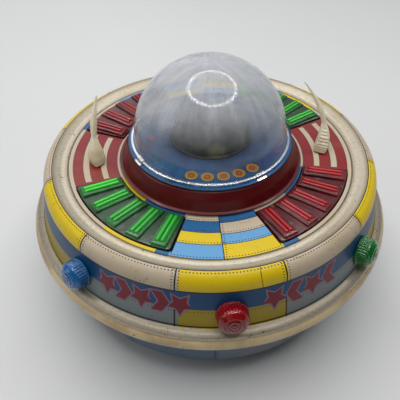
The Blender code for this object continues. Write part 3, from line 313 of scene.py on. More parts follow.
class Finish:
    """One material: constants on its Principled shader, and Wires that vary its colour and relief."""

    def __init__(self, name, **constants):
        self.material = bpy.data.materials.new(name)
        self.material.use_nodes = True
        self.tree = self.material.node_tree
        self.shader = self.tree.nodes["Principled BSDF"]
        self.output = self.tree.nodes["Material Output"]
        for key, value in constants.items():
            self.shader.inputs[key.replace("_", " ")].default_value = value
        self.place = self.node("ShaderNodeTexCoord", output="Object")
        xyz = self.node("ShaderNodeSeparateXYZ", inputs={0: self.place}).socket.node
        self.x, self.y, self.z = (Wire(self, out) * 1000.0 for out in xyz.outputs)

    def node(self, kind, settings=None, inputs=None, output=0):
        """Adds a node: its settings first, then the values or links of its sockets."""
        made = self.tree.nodes.new(kind)
        for key, value in (settings or {}).items():
            setattr(made, key, value)
        for key, value in (inputs or {}).items():
            if isinstance(value, Wire):
                self.tree.links.new(value.socket, made.inputs[key])
            else:
                made.inputs[key].default_value = value
        return Wire(self, made.outputs[output])

    def maths(self, operation, *values):
        return self.node("ShaderNodeMath", {"operation": operation}, dict(enumerate(values)))

    def length(self, u, v):
        return self.maths("SQRT", u * u + v * v)

    def radius(self):
        return self.length(self.x, self.y)

    def turn(self):
        return self.maths("ARCTAN2", self.x, 0.0 - self.y) * (1 / DEGREE)

    def soft(self, value, low, high):
        """0 below low, 1 above high, with an S-shaped rise between."""
        return self.node("ShaderNodeMapRange", {"interpolation_type": "SMOOTHSTEP"},
                         {0: value, 1: low, 2: high, 3: 0.0, 4: 1.0})

    def between(self, value, low, high):
        return (value > low) * (value < high)

    def line(self, value, middle_at, half):
        """1 where a value is within half of its middle."""
        return abs(value - middle_at) < half

    def steps(self, value, low, high, edges, colours):
        """A constant colour between each pair of edges."""
        made = self.node("ShaderNodeValToRGB", {}, {0: (value - low) / (high - low)})
        ramp = made.socket.node.color_ramp
        ramp.interpolation = "CONSTANT"
        ramp.elements.remove(ramp.elements[-1])
        ramp.elements[0].position, ramp.elements[0].color = 0.0, colours[0]
        for edge, colour in zip(edges, colours[1:]):
            ramp.elements.new((edge - low) / (high - low)).color = colour
        return made

    def blend(self, under, over, share):
        """A colour laid over another by a share."""
        return self.node("ShaderNodeMix", {"data_type": "RGBA", "clamp_factor": True},
                         {0: share, 6: under, 7: over}, output=2)

    def ink(self, under, share):
        return self.blend(under, BLACK, share)

    def fleck(self, under, over, pattern, low, high, share):
        """A colour laid over another where a pattern rises from low to high, by a share at most."""
        return self.blend(under, over, self.soft(pattern, low, high) * share)

    def noise(self, scale, detail=2.0, rough=0.5, stretch=(1.0, 1.0, 1.0), twist=0.0):
        """Noise from 0 to 1; scale is features a metre, stretch widens them along an axis."""
        where = self.node("ShaderNodeMapping", {}, {0: self.place, 3: tuple(1.0 / s for s in stretch)})
        return self.noise_at(where, scale, detail, rough, twist)

    def noise_at(self, where, scale, detail, rough, twist):
        return self.node("ShaderNodeTexNoise", {}, {0: where, "Scale": scale, "Detail": detail,
                                                    "Roughness": rough, "Distortion": twist})

    def apply(self, colour=None, roughness=None, metallic=None, relief=None, height=0.0001):
        for name, value in (("Base Color", colour), ("Roughness", roughness), ("Metallic", metallic)):
            if isinstance(value, Wire):
                self.tree.links.new(value.socket, self.shader.inputs[name])
            elif value is not None:
                self.shader.inputs[name].default_value = value
        if relief is not None:
            bump = self.node("ShaderNodeBump", {}, {"Height": relief, "Distance": height})
            self.tree.links.new(bump.socket, self.shader.inputs["Normal"])
        return self

    def show(self, surface):
        self.tree.links.new(surface.socket, self.output.inputs["Surface"])
        return self


BLACK = srgb(14, 12, 12)
YELLOW = srgb(214, 184, 12)
CREAM = srgb(188, 172, 148)
BAND_BLUE = srgb(0, 62, 104)
PALE_BLUE = srgb(96, 154, 200)
MID_BLUE = srgb(30, 94, 144)
TIN_CREAM = srgb(196, 186, 166)
OXBLOOD = srgb(88, 0, 6)
STRIPE_RED = srgb(128, 8, 20)


def wear(finish, colour, strength=1.0):
    """Age on a printed surface: a broad yellowing, fine dirt, scattered chips and short scratches."""
    broad = finish.noise(28.0, 3.0, 0.55)
    fine = finish.noise(900.0, 3.0, 0.7)
    chips = finish.soft(finish.noise(330.0, 5.0, 0.7), 0.645, 0.685)
    scratches = finish.soft(finish.noise(260.0, 3.0, 0.6, (4.0, 0.5, 1.0)), 0.66, 0.69)
    tint = finish.fleck(colour, srgb(150, 118, 70), broad, 0.46, 0.78, 0.26 * strength)
    tint = finish.fleck(tint, srgb(48, 38, 30), fine, 0.58, 0.80, 0.30 * strength)
    tint = finish.blend(tint, srgb(70, 60, 50), scratches * (0.35 * strength))
    return finish.blend(tint, srgb(52, 40, 30), chips * (0.8 * strength)), fine


def dots(along, across, pitch, size):
    """A row of printed rivets: along and across are millimetres from the row's start and middle."""
    u = (along / pitch + 1000.0) % 1.0 * pitch - pitch / 2
    return (u * u + across * across) < size * size


def star(finish, u, v, tip, notch):
    """Signed distance to a five-pointed star: below 0 inside. The turn is folded into one half point."""
    rho = finish.length(u, v)
    fifth = np.pi / 5
    fold = fifth - abs((finish.maths("ARCTAN2", u, v) + np.pi) % (2 * fifth) - fifth)
    edge = notch * np.array([np.cos(fifth), np.sin(fifth)]) - (tip, 0.0)
    normal = np.array([edge[1], -edge[0]]) / np.hypot(*edge)
    x = rho * finish.maths("COSINE", fold)
    y = rho * finish.maths("SINE", fold)
    return (x - tip) * float(normal[0]) + y * float(normal[1])


def chevron(u, v, half, thick, side):
    """Signed distance to an arrowhead bar pointing along side."""
    slope = 0.62
    slant = abs(u * side + abs(v) * slope - half * slope * 0.5) - thick
    return (slant * 0.85) | (abs(v) - half)


def printed_band():
    """The upper hull: a printed side band with generic marks, a panelled shoulder and a pale gutter."""
    f = Finish("printed_band_paint", Roughness=0.34, Coat_Weight=0.06, Coat_Roughness=0.2,
               Specular_IOR_Level=0.3)
    r, z, turn = f.radius(), f.z, f.turn()
    mm = 1 / MM
    foot, top, crown = FOOT_Z * mm, BAND_Z * mm, CROWN_R * mm
    along = turn * (DEGREE * 97.0)
    panels = list(range(-165, 180, 30))
    shoulder = f.steps(turn, -180, 180, panels, [YELLOW, CREAM] * 6 + [YELLOW])
    olive, grey = srgb(150, 130, 16), srgb(112, 120, 122)
    low = f.steps(turn, -180, 180, panels, [olive, grey] * 6 + [olive])
    near_seam = (turn + 15.0) % 30.0
    seam = (near_seam < 0.22) | (near_seam > 29.78)
    # side band: blue above, panels below
    half_way = foot + 0.52 * (top - foot)
    colour = f.blend(low, BAND_BLUE, z > half_way)
    row = dots(along, z - (half_way - 1.5), 1.6, 0.33) * (z < half_way)
    colour = f.ink(colour, row * 0.8)
    colour = f.ink(colour, (seam * (z < half_way)) | f.line(z, foot + 0.7, 0.35))
    # marks
    for first, pitch, count, side in ((-37.4, 5.3, 5, 1.0), (8.6, 5.9, 4, -1.0)):
        share = (turn - first) / pitch
        cell = f.maths("FLOOR", share)
        u = (share - cell - 0.5) * (pitch * DEGREE * 97.6)
        v = z - (foot + 0.635 * (top - foot))
        parity = cell % 2.0
        shape = star(f, u, v, 6.1, 3.1) * (1 - parity) + chevron(u, v, 5.6, 2.4, side) * parity
        inside = f.between(share, 0.0, float(count))
        colour = f.blend(colour, srgb(120, 96, 120), (shape < 0.75) * inside)
        colour = f.blend(colour, srgb(112, 0, 28), (shape < 0.05) * inside)
    # shoulder
    over = z > top
    top_row = dots(turn * (DEGREE * 90.6), r - (crown + 1.5), 1.55, 0.34)
    ends = [dots(z - r, (near_seam - at) * 1.6, 1.9, 0.36) for at in (0.9, 29.1)]
    shoulder = f.ink(f.ink(shoulder, (top_row | (ends[0] | ends[1])) * 0.9), seam)
    wave = f.noise(160.0, 2.0)
    shoulder = f.ink(shoulder, f.line(turn + (wave - 0.5) * 1.2, 8.0, 0.12) * 0.8)
    colour = f.blend(colour, shoulder, over)
    colour = f.ink(colour, f.line(z, top - 0.1, 0.32))
    # gutter and skirt stay pale, with painted shade darkening the gutter towards both its edges and the skirt
    # just under the band
    satin = f.noise(700.0, 3.0, 0.6)
    pale = f.fleck(TIN_CREAM, srgb(150, 136, 106), satin, 0.45, 0.75, 0.5)
    # painted shade: the gutter darkens towards both its edges, to look rounded
    edge = abs(r - (crown + DECK_R * mm) / 2) / 3.6
    pale = f.blend(pale, srgb(110, 96, 74), f.soft(edge, 0.45, 1.05) * 0.6 * (z > foot))
    # painted shade in the crease just under the band
    under_band_shade = f.soft(z, foot - 3.2, foot - 0.4)
    pale = f.blend(pale, srgb(96, 84, 66), under_band_shade * (z < foot) * 0.5)
    tin = (r < crown) | (z < foot)
    colour = f.blend(colour, pale, tin)
    colour = f.ink(colour, f.line(r, crown + 0.25, 0.24) * over)
    worn, fine = wear(f, colour)
    colour = f.blend(f.blend(colour, worn, 0.35), worn, (z > top - 0.5) | (z < foot))
    return f.apply(colour=colour, roughness=0.30 + fine * 0.22, metallic=tin * 0.35, relief=fine + wave * 0.5,
                   height=0.00006)


def printed_deck():
    """The deck: stripes beside the horns, panel rows in front and behind, thin strips round the windows."""
    f = Finish("printed_deck_paint", Roughness=0.3, Coat_Weight=0.10, Coat_Roughness=0.12,
               Specular_IOR_Level=0.35)
    r, turn = f.radius(), f.turn()
    side = abs(turn)
    # stripes
    edges = [54.8, 60.7, 64.0, 70.1, 73.6, 79.0]
    stripes = f.steps(r, 49.0, 82.0, edges, [CREAM, STRIPE_RED] * 3 + [CREAM])
    for edge in edges:
        stripes = f.ink(stripes, f.line(r, edge, 0.16) * 0.85)
    stripes = f.blend(stripes, STRIPE_RED, (abs(side - 89.0) > 17.6) * f.between(r, 54.8, 79.0))

    def rows(edges, tones):
        """Rings of panels with a black line and a row of rivets on each edge."""
        sheet = f.steps(r, 49.0, 82.0, edges, tones)
        for edge in edges:
            sheet = f.ink(sheet, f.line(r, edge, 0.2))
            sheet = f.ink(sheet, dots(turn * (DEGREE * edge), r - (edge - 1.2), 1.5, 0.33) * 0.9)
        return sheet

    left = rows([56.5, 64.4, 72.3, 81.4], [CREAM, MID_BLUE, YELLOW, PALE_BLUE, YELLOW])
    right = rows([57.6, 65.5, 72.2, 81.4], [MID_BLUE, CREAM, PALE_BLUE, YELLOW, CREAM])
    split = turn + 1.2
    panel = f.blend(left, right, split > 0.0)
    across = split * DEGREE * r
    panel = f.ink(panel, dots(r, across - 1.3, 1.5, 0.33) * 0.9)
    panel = f.ink(panel, f.line(across, 0.0, 0.25))
    colour = f.blend(stripes, panel, (side < 19.2) | (side > 158.8))
    # thin strips
    outer = f.steps(turn, -180, 180, [-135, -115, -100, -66, -45, -24, 24, 66, 115, 135], [
        PALE_BLUE, CREAM, MID_BLUE, CREAM, CREAM, YELLOW, MID_BLUE, CREAM, CREAM, YELLOW, PALE_BLUE])
    inner = f.steps(turn, -180, 180, [-135, -115, -70, -45, -19, 19, 42, 70, 115, 135], [
        CREAM, MID_BLUE, CREAM, YELLOW, MID_BLUE, CREAM, CREAM, MID_BLUE, CREAM, YELLOW, MID_BLUE])
    in_window = f.between(side, 19.2, 69.6) | f.between(side, 108.4, 158.8)
    colour = f.blend(colour, outer, (r > 79.4) * in_window)
    colour = f.blend(colour, inner, (r < 54.3) * in_window)
    colour = f.ink(colour, (f.line(r, 81.4, 0.22) | f.line(r, 53.35, 0.15)) * 0.9)
    for edge in (18.6, 69.9, 108.1, 159.4):
        near_edge = abs(side - edge) * r * DEGREE < 0.3
        colour = f.ink(colour, near_edge * f.between(r, 53.9, 79.6) * 0.85)
    colour, fine = wear(f, colour, 0.8)
    wave = f.noise(60.0, 2.0)
    return f.apply(colour=colour, roughness=0.26 + fine * 0.25, relief=fine * 0.4 + wave * 2.0,
                   height=0.00010)


def pan_print():
    """The lower hull: pale grey-blue with upright panel lines and a few small red marks."""
    f = Finish("lower_print", Roughness=0.4, Coat_Weight=0.2, Coat_Roughness=0.2)
    turn, z = f.turn(), f.z
    edges = (-150.0, -110.0, -70.0, -34.0, -4.0, 18.0, 52.0, 88.0, 124.0, 160.0)
    tones = ((34, 72, 104), (78, 96, 110), (30, 68, 100), (80, 98, 112), (38, 78, 110), (74, 96, 114),
             (34, 74, 106), (82, 98, 110), (32, 72, 102), (76, 94, 108), (36, 74, 104))
    low = f.steps(turn, -180, 180, edges, [srgb(*tone) for tone in tones])
    seam = f.line(turn, -4.0, 0.28)
    for at in edges[:4] + edges[5:]:
        seam = seam | f.line(turn + (z - 40.0) * 0.12, at, 0.28)
    colour = f.ink(low, seam)
    spot = (turn % 36.0 - 11.0) * 1.65
    mark = ((spot * spot) * 0.16 + (z - 44.0) * (z - 44.0)) < 1.6
    colour = f.blend(colour, srgb(150, 34, 36), mark)
    colour, fine = wear(f, colour)
    return f.apply(colour=colour, roughness=0.32 + fine * 0.25, relief=fine, height=0.00006)


def rim_paint():
    """Aged cream enamel on the rolled rim, with painted shade darkening its underside."""
    f = Finish("rim_cream", Roughness=0.3, Coat_Weight=0.3, Coat_Roughness=0.15)
    stain = f.noise(45.0, 4.0, 0.6)
    speck = f.noise(1300.0, 3.0, 0.7)
    colour = f.fleck(srgb(200, 178, 136), srgb(142, 112, 70), stain, 0.40, 0.68, 0.6)
    colour = f.fleck(colour, srgb(70, 52, 34), speck, 0.64, 0.73, 0.7)
    chips = f.soft(f.noise(300.0, 4.0, 0.65), 0.65, 0.68)
    colour = f.blend(colour, srgb(96, 58, 30), chips * 0.7)
    # painted shade: the underside of the roll is darkened
    colour = f.blend(colour, srgb(96, 76, 50), f.soft(0.0 - f.z, -49.5, -46.5) * 0.5)
    return f.apply(colour=colour, roughness=0.26 + speck * 0.2, relief=speck, height=0.00005)


def collar_paint():
    """Glossy dark red enamel with slow patches, fine dirt and a faint orange peel."""
    f = Finish("collar_oxblood", Coat_Weight=0.18, Coat_Roughness=0.1, Specular_IOR_Level=0.35)
    patch = f.noise(40.0, 3.0, 0.6)
    fine = f.noise(1100.0, 3.0, 0.7)
    colour = f.fleck(OXBLOOD, srgb(66, 2, 8), patch, 0.40, 0.75, 0.5)
    colour = f.fleck(colour, srgb(30, 24, 22), fine, 0.64, 0.78, 0.5)
    return f.apply(colour=colour, roughness=0.3 + fine * 0.15, relief=fine + patch, height=0.00005)


def cockpit_print():
    """Blue enamel with five dials in a row at the front, a red spot and a dark line round the edge."""
    f = Finish("cockpit_blue", Coat_Weight=0.2, Coat_Roughness=0.08, Specular_IOR_Level=0.4)
    r, turn = f.radius(), f.turn()
    patch = f.noise(55.0, 3.0, 0.6)
    colour = f.blend(srgb(20, 90, 150), srgb(8, 60, 112), f.soft(patch, 0.4, 0.7))
    colour = f.ink(colour, (r > SEAT_R / MM - 0.7) * 0.85)
    share = (turn - 4.9 + 32.5) / 13.0
    cell = f.maths("FLOOR", share)
    u = (share - cell - 0.5) * (13.0 * DEGREE * 37.0)
    v = r - 36.8
    rho = f.length(u, v)
    on = f.between(share, 0.0, 5.0)
    for size, tone in ((3.6, (14, 12, 12)), (3.3, (206, 160, 50)), (2.5, (60, 40, 24)),
                       (2.15, (206, 160, 60)), (1.75, (150, 56, 34)), (0.6, (190, 130, 60))):
        colour = f.blend(colour, srgb(*tone), (rho < size) * on)
    spot_u = (turn + 90.0) * (DEGREE * 34.0)
    spot = (spot_u * spot_u + (r - 34.0) * (r - 34.0) * 2.4) < 5.5
    colour = f.blend(colour, srgb(170, 60, 56), spot)
    fine = f.noise(900.0, 3.0, 0.7)
    colour = f.fleck(colour, srgb(26, 40, 60), fine, 0.62, 0.8, 0.4)
    return f.apply(colour=colour, roughness=0.22 + fine * 0.2, relief=fine, height=0.00005)


def clear_dome():
    """Clear moulded plastic: a mirror by its angle (0.04 + 0.96 facing^5 on each side of the wall), a view
    through, and a haze of rubs and streaks that thickens towards the crown."""
    f = Finish("dome_clear", Roughness=0.5)
    f.apply(colour=srgb(196, 198, 202))
    broad = f.noise(30.0, 4.0, 0.62, (1.0, 1.0, 0.45), 0.8)
    r = f.radius() + 3.0
    fan = f.node("ShaderNodeCombineXYZ", {}, {0: f.x / r, 1: f.y / r, 2: f.z * 0.005})
    streaks = f.noise_at(fan, 7.0, 4.0, 0.6, 0.5)
    scratch = f.noise_at(fan, 34.0, 2.0, 0.5, 0.3)
    rubs = f.soft(f.noise(95.0, 4.0, 0.7), 0.62, 0.74)
    height = f.soft(f.z + f.y * 0.20, 97.0, 121.0)
    away = f.soft(abs(f.x + 2.0), 14.0, 41.0)
    where = (height * 0.85 + away * 0.35) & 1.0
    haze = f.soft(broad, 0.25, 0.75) * (0.01 + where * 0.34)
    haze = haze + f.soft(streaks, 0.40, 0.74) * (0.01 + where * 0.20)
    haze = haze + f.soft(scratch, 0.52, 0.72) * (0.01 + where * 0.07) + rubs * where * 0.10
    haze = haze + where * height * 0.34
    see = f.node("ShaderNodeBsdfTransparent", {}, {0: (0.985, 0.985, 0.985, 1.0)})
    glare = f.node("ShaderNodeBsdfAnisotropic", {"distribution": "GGX"},
                   {"Color": (1.0, 1.0, 1.0, 1.0), "Roughness": 0.05})
    facing = f.node("ShaderNodeLayerWeight", {}, {0: 0.5}, output=1)
    gloss = facing ** 5.0 * 0.96 + 0.04
    base = Wire(f, f.shader.outputs[0])
    clear = f.node("ShaderNodeMixShader", {}, {0: gloss, 1: see, 2: glare})
    return f.show(f.node("ShaderNodeMixShader", {}, {0: haze & 0.85, 1: clear, 2: base}))


def lamp_plastic(name, tone, deep):
    """Coloured clear plastic, a little cloudy, deeper in patches."""
    f = Finish(name, Transmission_Weight=0.55, IOR=1.46, Coat_Weight=0.35, Coat_Roughness=0.05)
    patch = f.noise(120.0, 2.0)
    fine = f.noise(600.0, 2.0, 0.6)
    colour = f.fleck(tone, deep, patch, 0.35, 0.7, 0.5)
    return f.apply(colour=colour, roughness=0.10 + fine * 0.08)


def louvre_plastic(name, bright, body, deep, sheet):
    """Coloured clear plastic over shadow: the ridge attribute picks a painted highlight in the bright tone
    along the bars' ridges, stronger in broad patches, and below 0 the dusty sheet between them, painted dark
    for the shade under it."""
    f = Finish(name, Coat_Weight=0.35, Coat_Roughness=0.06, Specular_IOR_Level=0.4)
    ridge = f.node("ShaderNodeAttribute", {"attribute_name": "ridge"}, output=2)
    patch = f.noise(70.0, 3.0, 0.6)
    fine = f.noise(1400.0, 3.0, 0.7)
    dust = f.noise(210.0, 4.0, 0.65)
    colour = f.blend(body, deep, f.soft(patch, 0.35, 0.7))
    # painted highlight: the bright tone on the ridges, stronger in broad patches
    painted_glow = f.soft(f.noise(13.0, 1.0), 0.34, 0.62)
    colour = f.blend(colour, bright, f.soft(ridge, 0.10, 0.75) * (0.38 + painted_glow * 0.50 + patch * 0.25))
    # painted shade: the sheet's dark tone stands for the shadowed hollow under it; the pale flecks are dust
    flat = f.fleck(sheet, srgb(104, 102, 84), dust, 0.52, 0.72, 0.5)
    colour = f.blend(colour, flat, ridge < -0.5)
    colour = f.fleck(colour, deep, fine, 0.62, 0.8, 0.35)
    return f.apply(colour=colour, roughness=0.14 + fine * 0.2, relief=fine, height=0.00003)


def smoked_plastic():
    """Dark grey-green moulding, near black on its crown and dusted pale, with a painted highlight, a pale
    smear near the front of its foot, and painted shade in near-black speckles round its foot.
    """
    f = Finish("lens_smoked", Coat_Weight=0.25, Coat_Roughness=0.2, Specular_IOR_Level=0.3)
    patch = f.noise(90.0, 4.0, 0.6)
    dust = f.noise(1600.0, 3.0, 0.7)
    low = 1 - f.soft(f.z, 93.0, 97.5)
    colour = f.blend(srgb(74, 84, 64), srgb(40, 48, 38), f.soft(patch, 0.4, 0.7))
    crown = 1 - f.soft(f.maths("SQRT", f.x * f.x + (f.y + 4.0) * (f.y + 4.0)), 5.0, 16.0)
    colour = f.blend(colour, srgb(12, 12, 10), crown * 0.9)
    # painted highlight: a pale smear near the front of the foot
    smear_highlight = f.maths("SQRT", (f.x - 2.0) * (f.x - 2.0) * 0.35 + (f.y + 22.0) * (f.y + 22.0) * 2.0)
    colour = f.blend(colour, srgb(190, 180, 140), (1 - f.soft(smear_highlight + patch * 2.0, 2.0, 5.2)) * 0.8)
    # painted shade: near-black speckles round the foot
    colour = f.blend(colour, srgb(14, 14, 12), low * f.soft(dust, 0.40, 0.56))
    colour = f.fleck(colour, srgb(110, 112, 92), dust, 0.60, 0.72, 0.25)
    return f.apply(colour=colour, roughness=0.40 + dust * 0.2, relief=dust, height=0.00008)


def horn_plastic():
    """Ivory moulded plastic, darker and browner towards its foot."""
    f = Finish("horn_ivory", Subsurface_Weight=0.15, Coat_Weight=0.15)
    patch = f.noise(180.0, 3.0, 0.6)
    fine = f.noise(1500.0, 3.0, 0.7)
    low = 1 - f.soft(f.z, 82.0, 96.0)
    colour = f.blend(srgb(232, 222, 194), srgb(190, 164, 116), f.soft(patch, 0.4, 0.75) * 0.4 + low * 0.35)
    colour = f.fleck(colour, srgb(92, 74, 54), fine, 0.66, 0.78, 0.5)
    return f.apply(colour=colour, roughness=0.3 + fine * 0.15, relief=fine, height=0.00006)


def metal(name, tone, worn, roughness=0.28, brushed=(1.0, 1.0, 6.0), height=0.00004):
    """Plated metal with a grain, faint stains and a soft relief."""
    f = Finish(name, Metallic=1.0)
    grain = f.noise(1200.0, 2.0, 0.6, brushed)
    stain = f.noise(120.0, 4.0, 0.6)
    colour = f.fleck(tone, worn, stain, 0.42, 0.72, 0.7)
    return f.apply(colour=colour, roughness=roughness + grain * 0.2, relief=grain, height=height)


def plastic(name, tone, worn, roughness=0.35, clear=0.0):
    """Moulded plastic with a soft mottling and scuffs."""
    f = Finish(name, Transmission_Weight=clear)
    patch = f.noise(140.0, 3.0, 0.6)
    fine = f.noise(1300.0, 3.0, 0.7)
    colour = f.fleck(tone, worn, patch, 0.4, 0.72, 0.5)
    colour = f.fleck(colour, worn, fine, 0.64, 0.78, 0.5)
    return f.apply(colour=colour, roughness=roughness + fine * 0.2, relief=fine, height=0.00006)


def rubber():
    """Black rubber with a dusty bloom."""
    f = Finish("tyre_rubber")
    dust = f.noise(500.0, 4.0, 0.65)
    colour = f.fleck(srgb(30, 29, 29), srgb(88, 84, 78), dust, 0.50, 0.75, 0.5)
    return f.apply(colour=colour, roughness=0.62 + dust * 0.2, relief=dust, height=0.00012)


def cell_print():
    """A plain dry cell: a dark jacket with one copper band and bright ends."""
    f = Finish("cell_jacket_paint", Coat_Weight=0.3, Coat_Roughness=0.1)
    fine = f.noise(1000.0, 3.0, 0.7)
    colour = f.blend(srgb(34, 36, 42), srgb(176, 104, 58), f.y > 33.0)
    colour = f.blend(colour, srgb(190, 190, 188), f.line(f.y, 33.0, 0.5) | (f.y > 46.3) | (f.y < -1.2))
    colour = f.fleck(colour, srgb(90, 80, 70), fine, 0.6, 0.78, 0.4)
    return f.apply(colour=colour, roughness=0.28 + fine * 0.15, relief=fine, height=0.00004)


band_paint = printed_band()
deck_paint = printed_deck()
pan_paint = pan_print()
rim_cream = rim_paint()
collar_red = collar_paint()
cockpit_blue = cockpit_print()
dome_plastic = clear_dome()
lens_plastic = smoked_plastic()
ivory = horn_plastic()
green_louvre = louvre_plastic("louvre_green", srgb(58, 214, 52), srgb(20, 110, 38), srgb(12, 62, 26),
                              srgb(40, 62, 42))
red_louvre = louvre_plastic("louvre_red", srgb(176, 10, 22), srgb(112, 8, 16), srgb(58, 6, 12),
                            srgb(78, 14, 20))
lamp_blue = lamp_plastic("lamp_blue", srgb(16, 128, 200), srgb(2, 66, 128))
lamp_red = lamp_plastic("lamp_red", srgb(176, 6, 14), srgb(88, 2, 6))
lamp_green = lamp_plastic("lamp_green", srgb(8, 150, 44), srgb(2, 78, 22))
steel = metal("steel_plated", srgb(176, 176, 172), srgb(112, 108, 100))
brass = metal("brass_plain", srgb(196, 160, 88), srgb(120, 92, 50), 0.3)
bright_tin = metal("tin_bright", srgb(226, 228, 230), srgb(176, 170, 158), 0.16, (1.0, 1.0, 1.0), 0.000006)
mirror = metal("mirror_bright", srgb(222, 222, 218), srgb(150, 148, 140), 0.12)
black_plastic = plastic("plastic_black", srgb(34, 34, 36), srgb(70, 68, 66))
white_nylon = plastic("nylon_white", srgb(224, 220, 208), srgb(176, 168, 148), 0.42)
bulb_clear = plastic("bulb_clear", srgb(240, 238, 226), srgb(206, 200, 180), 0.06, clear=0.8)
tyre = rubber()
cell_paint = cell_print()


# Hull

def upper_hull():
    """Skirt, side band, rounded shoulder, gutter and shelf as one bent sheet."""
    crown = ellipse((CROWN_R, BAND_Z), (BAND_R - CROWN_R, CROWN_Z - BAND_Z), 0, 90, 14)
    gutter_foot = (DECK_R + 0.3 * MM, DECK_TOP)
    line = np.vstack([
        [(SKIRT_R, SKIRT_LOW + 0.1 * MM), (SKIRT_R - 0.5 * MM, SKIRT_LOW + 1.5 * MM),
         (SKIRT_R - 2.6 * MM, SKIRT_LOW + 2.5 * MM), (FOOT_R + 0.3 * MM, FOOT_Z - 0.1 * MM)],
        np.linspace((FOOT_R - 0.1 * MM, FOOT_Z + 0.5 * MM), (BAND_R, BAND_Z), 8)[:-1], crown,
        [(CROWN_R - 1.4 * MM, CROWN_Z - 0.9 * MM), (CROWN_R - 4.2 * MM, CROWN_Z - 3.0 * MM),
         (gutter_foot[0] + 0.8 * MM, gutter_foot[1] + 0.1 * MM), gutter_foot],
    ])
    outer = eased(line, 0.9 * MM, steps=3)
    shelf = np.array([(gutter_foot[0], gutter_foot[1] - SHEET - 0.3 * MM),
                      (gutter_foot[0] - 1.5 * MM, gutter_foot[1] - SHEET - 0.45 * MM)])
    outer = np.vstack([outer, shelf])
    made = turned("upper_hull_shell", sheet_loop(outer, SHEET * 0.9), band_paint)
    cutters = []
    for turn in LAMP_TURNS.values():
        side = ((0, -6 * MM), (5.2 * MM, -6 * MM), (5.2 * MM, 6 * MM), (0, 6 * MM))
        plug = turned("port", side, None, False, 32)
        cutters.append(seated(plug, lamp_matrix(turn)))
    return carved(made, cutters)


def lamp_matrix(turn):
    """The seat of a lamp on the band: its own +Z points out along the band's normal."""
    tilt = np.arctan2(BAND_R - FOOT_R, BAND_Z - FOOT_Z)
    share = (LAMP_Z - FOOT_Z) / (BAND_Z - FOOT_Z)
    radius = FOOT_R + (BAND_R - FOOT_R) * share
    a = TURN(turn)
    place = Matrix.Translation((radius * np.sin(a), -radius * np.cos(a), LAMP_Z))
    return place @ Matrix.Rotation(a, 4, "Z") @ Matrix.Rotation(np.pi / 2 + tilt, 4, "X")


def rim_bead():
    half, tall = 3.8 * MM, (RIM_TOP - RIM_LOW) / 2
    section = ellipse((RIM_R - half, (RIM_LOW + RIM_TOP) / 2), (half, tall), 0, 360, 32)[:-1]
    return turned("rim_bead_roll", section, rim_cream)


def lower_hull():
    """The pan, with the openings for the drive unit, the battery door, the rear wheels and the switch."""
    corner = ellipse((PAN_R - 3.0 * MM - 8.5 * MM, PAN_LOW + 8.5 * MM), (8.5 * MM, 8.5 * MM), -90, 0, 10)
    outer = np.vstack([np.linspace((40 * MM, PAN_LOW), corner[0], 5)[:-1], corner,
                       np.linspace(corner[-1], (PAN_R, PAN_TOP), 7)[1:]])
    inner = beside(outer, SHEET)
    line = np.vstack([[(0.0, PAN_LOW)], outer, inner[::-1], [(0.0, PAN_LOW + SHEET)]])
    made = turned("lower_hull_pan", line, pan_paint, closed=False)
    low, high = PAN_LOW - 2 * MM, PAN_LOW + 3 * MM
    drive = middle("turret_frame")
    ring = ellipse((0.0, drive.y), (DRIVE_PORT_R, DRIVE_PORT_R), 0, 360, 96)[:-1]
    cutters = [prism("cut_drive", ring, low, high)]
    door_low, door_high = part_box("battery_door")
    gap = 0.8 * MM
    spans = [((door_low.x - gap, door_high.x + gap), (door_low.y - gap, door_high.y + gap))]
    for side in ("left", "right"):
        a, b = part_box(f"rear_wheel_{side}")
        spans.append(((a.x - 1.5 * MM, b.x + 1.5 * MM), (a.y - 0.4 * MM, b.y + 0.4 * MM)))
    knob = middle("switch_knob")
    spans.append(((knob.x - 1.8 * MM, knob.x + 1.8 * MM), (-5.3 * MM, 5.3 * MM)))
    for k, ((x0, x1), (y0, y1)) in enumerate(spans):
        box_line = eased([(x0, y0), (x1, y0), (x1, y1), (x0, y1)], 0.8 * MM, closed=True, steps=4)
        cutters.append(prism(f"cut_{k}", box_line, low, high))
    return carved(made, cutters)


# Deck

def deck_plate():
    line = np.array([(r, deck_height(r)) for r in np.linspace(DECK_R, DECK_BORE, 8)])
    loop = np.vstack([line, line[::-1] - (0.0, SHEET)])
    made = turned("deck_sheet", loop, deck_paint)
    cutters = [deck_patch(f"cut_{name}", turns, WINDOW_R, -4 * MM, 4 * MM, round_mm=2.0)
               for name, turns in WINDOWS.items()]
    for horn in ("antenna_left", "antenna_right"):
        x, y = horn_seat(horn)
        ring = ellipse((x, y), (1.8 * MM, 1.8 * MM), 0, 360, 24)[:-1]
        cutters.append(prism(f"hole_{horn}", ring, 70 * MM, 90 * MM))
    return carved(made, cutters, 30.0)


def horn_seat(node):
    """Where a horn's pin goes through the deck."""
    side = 1.0 if middle(node).x > 0 else -1.0
    return side * HORN_R * np.cos(TURN(HORN_FORWARD)), -HORN_R * np.sin(TURN(HORN_FORWARD))


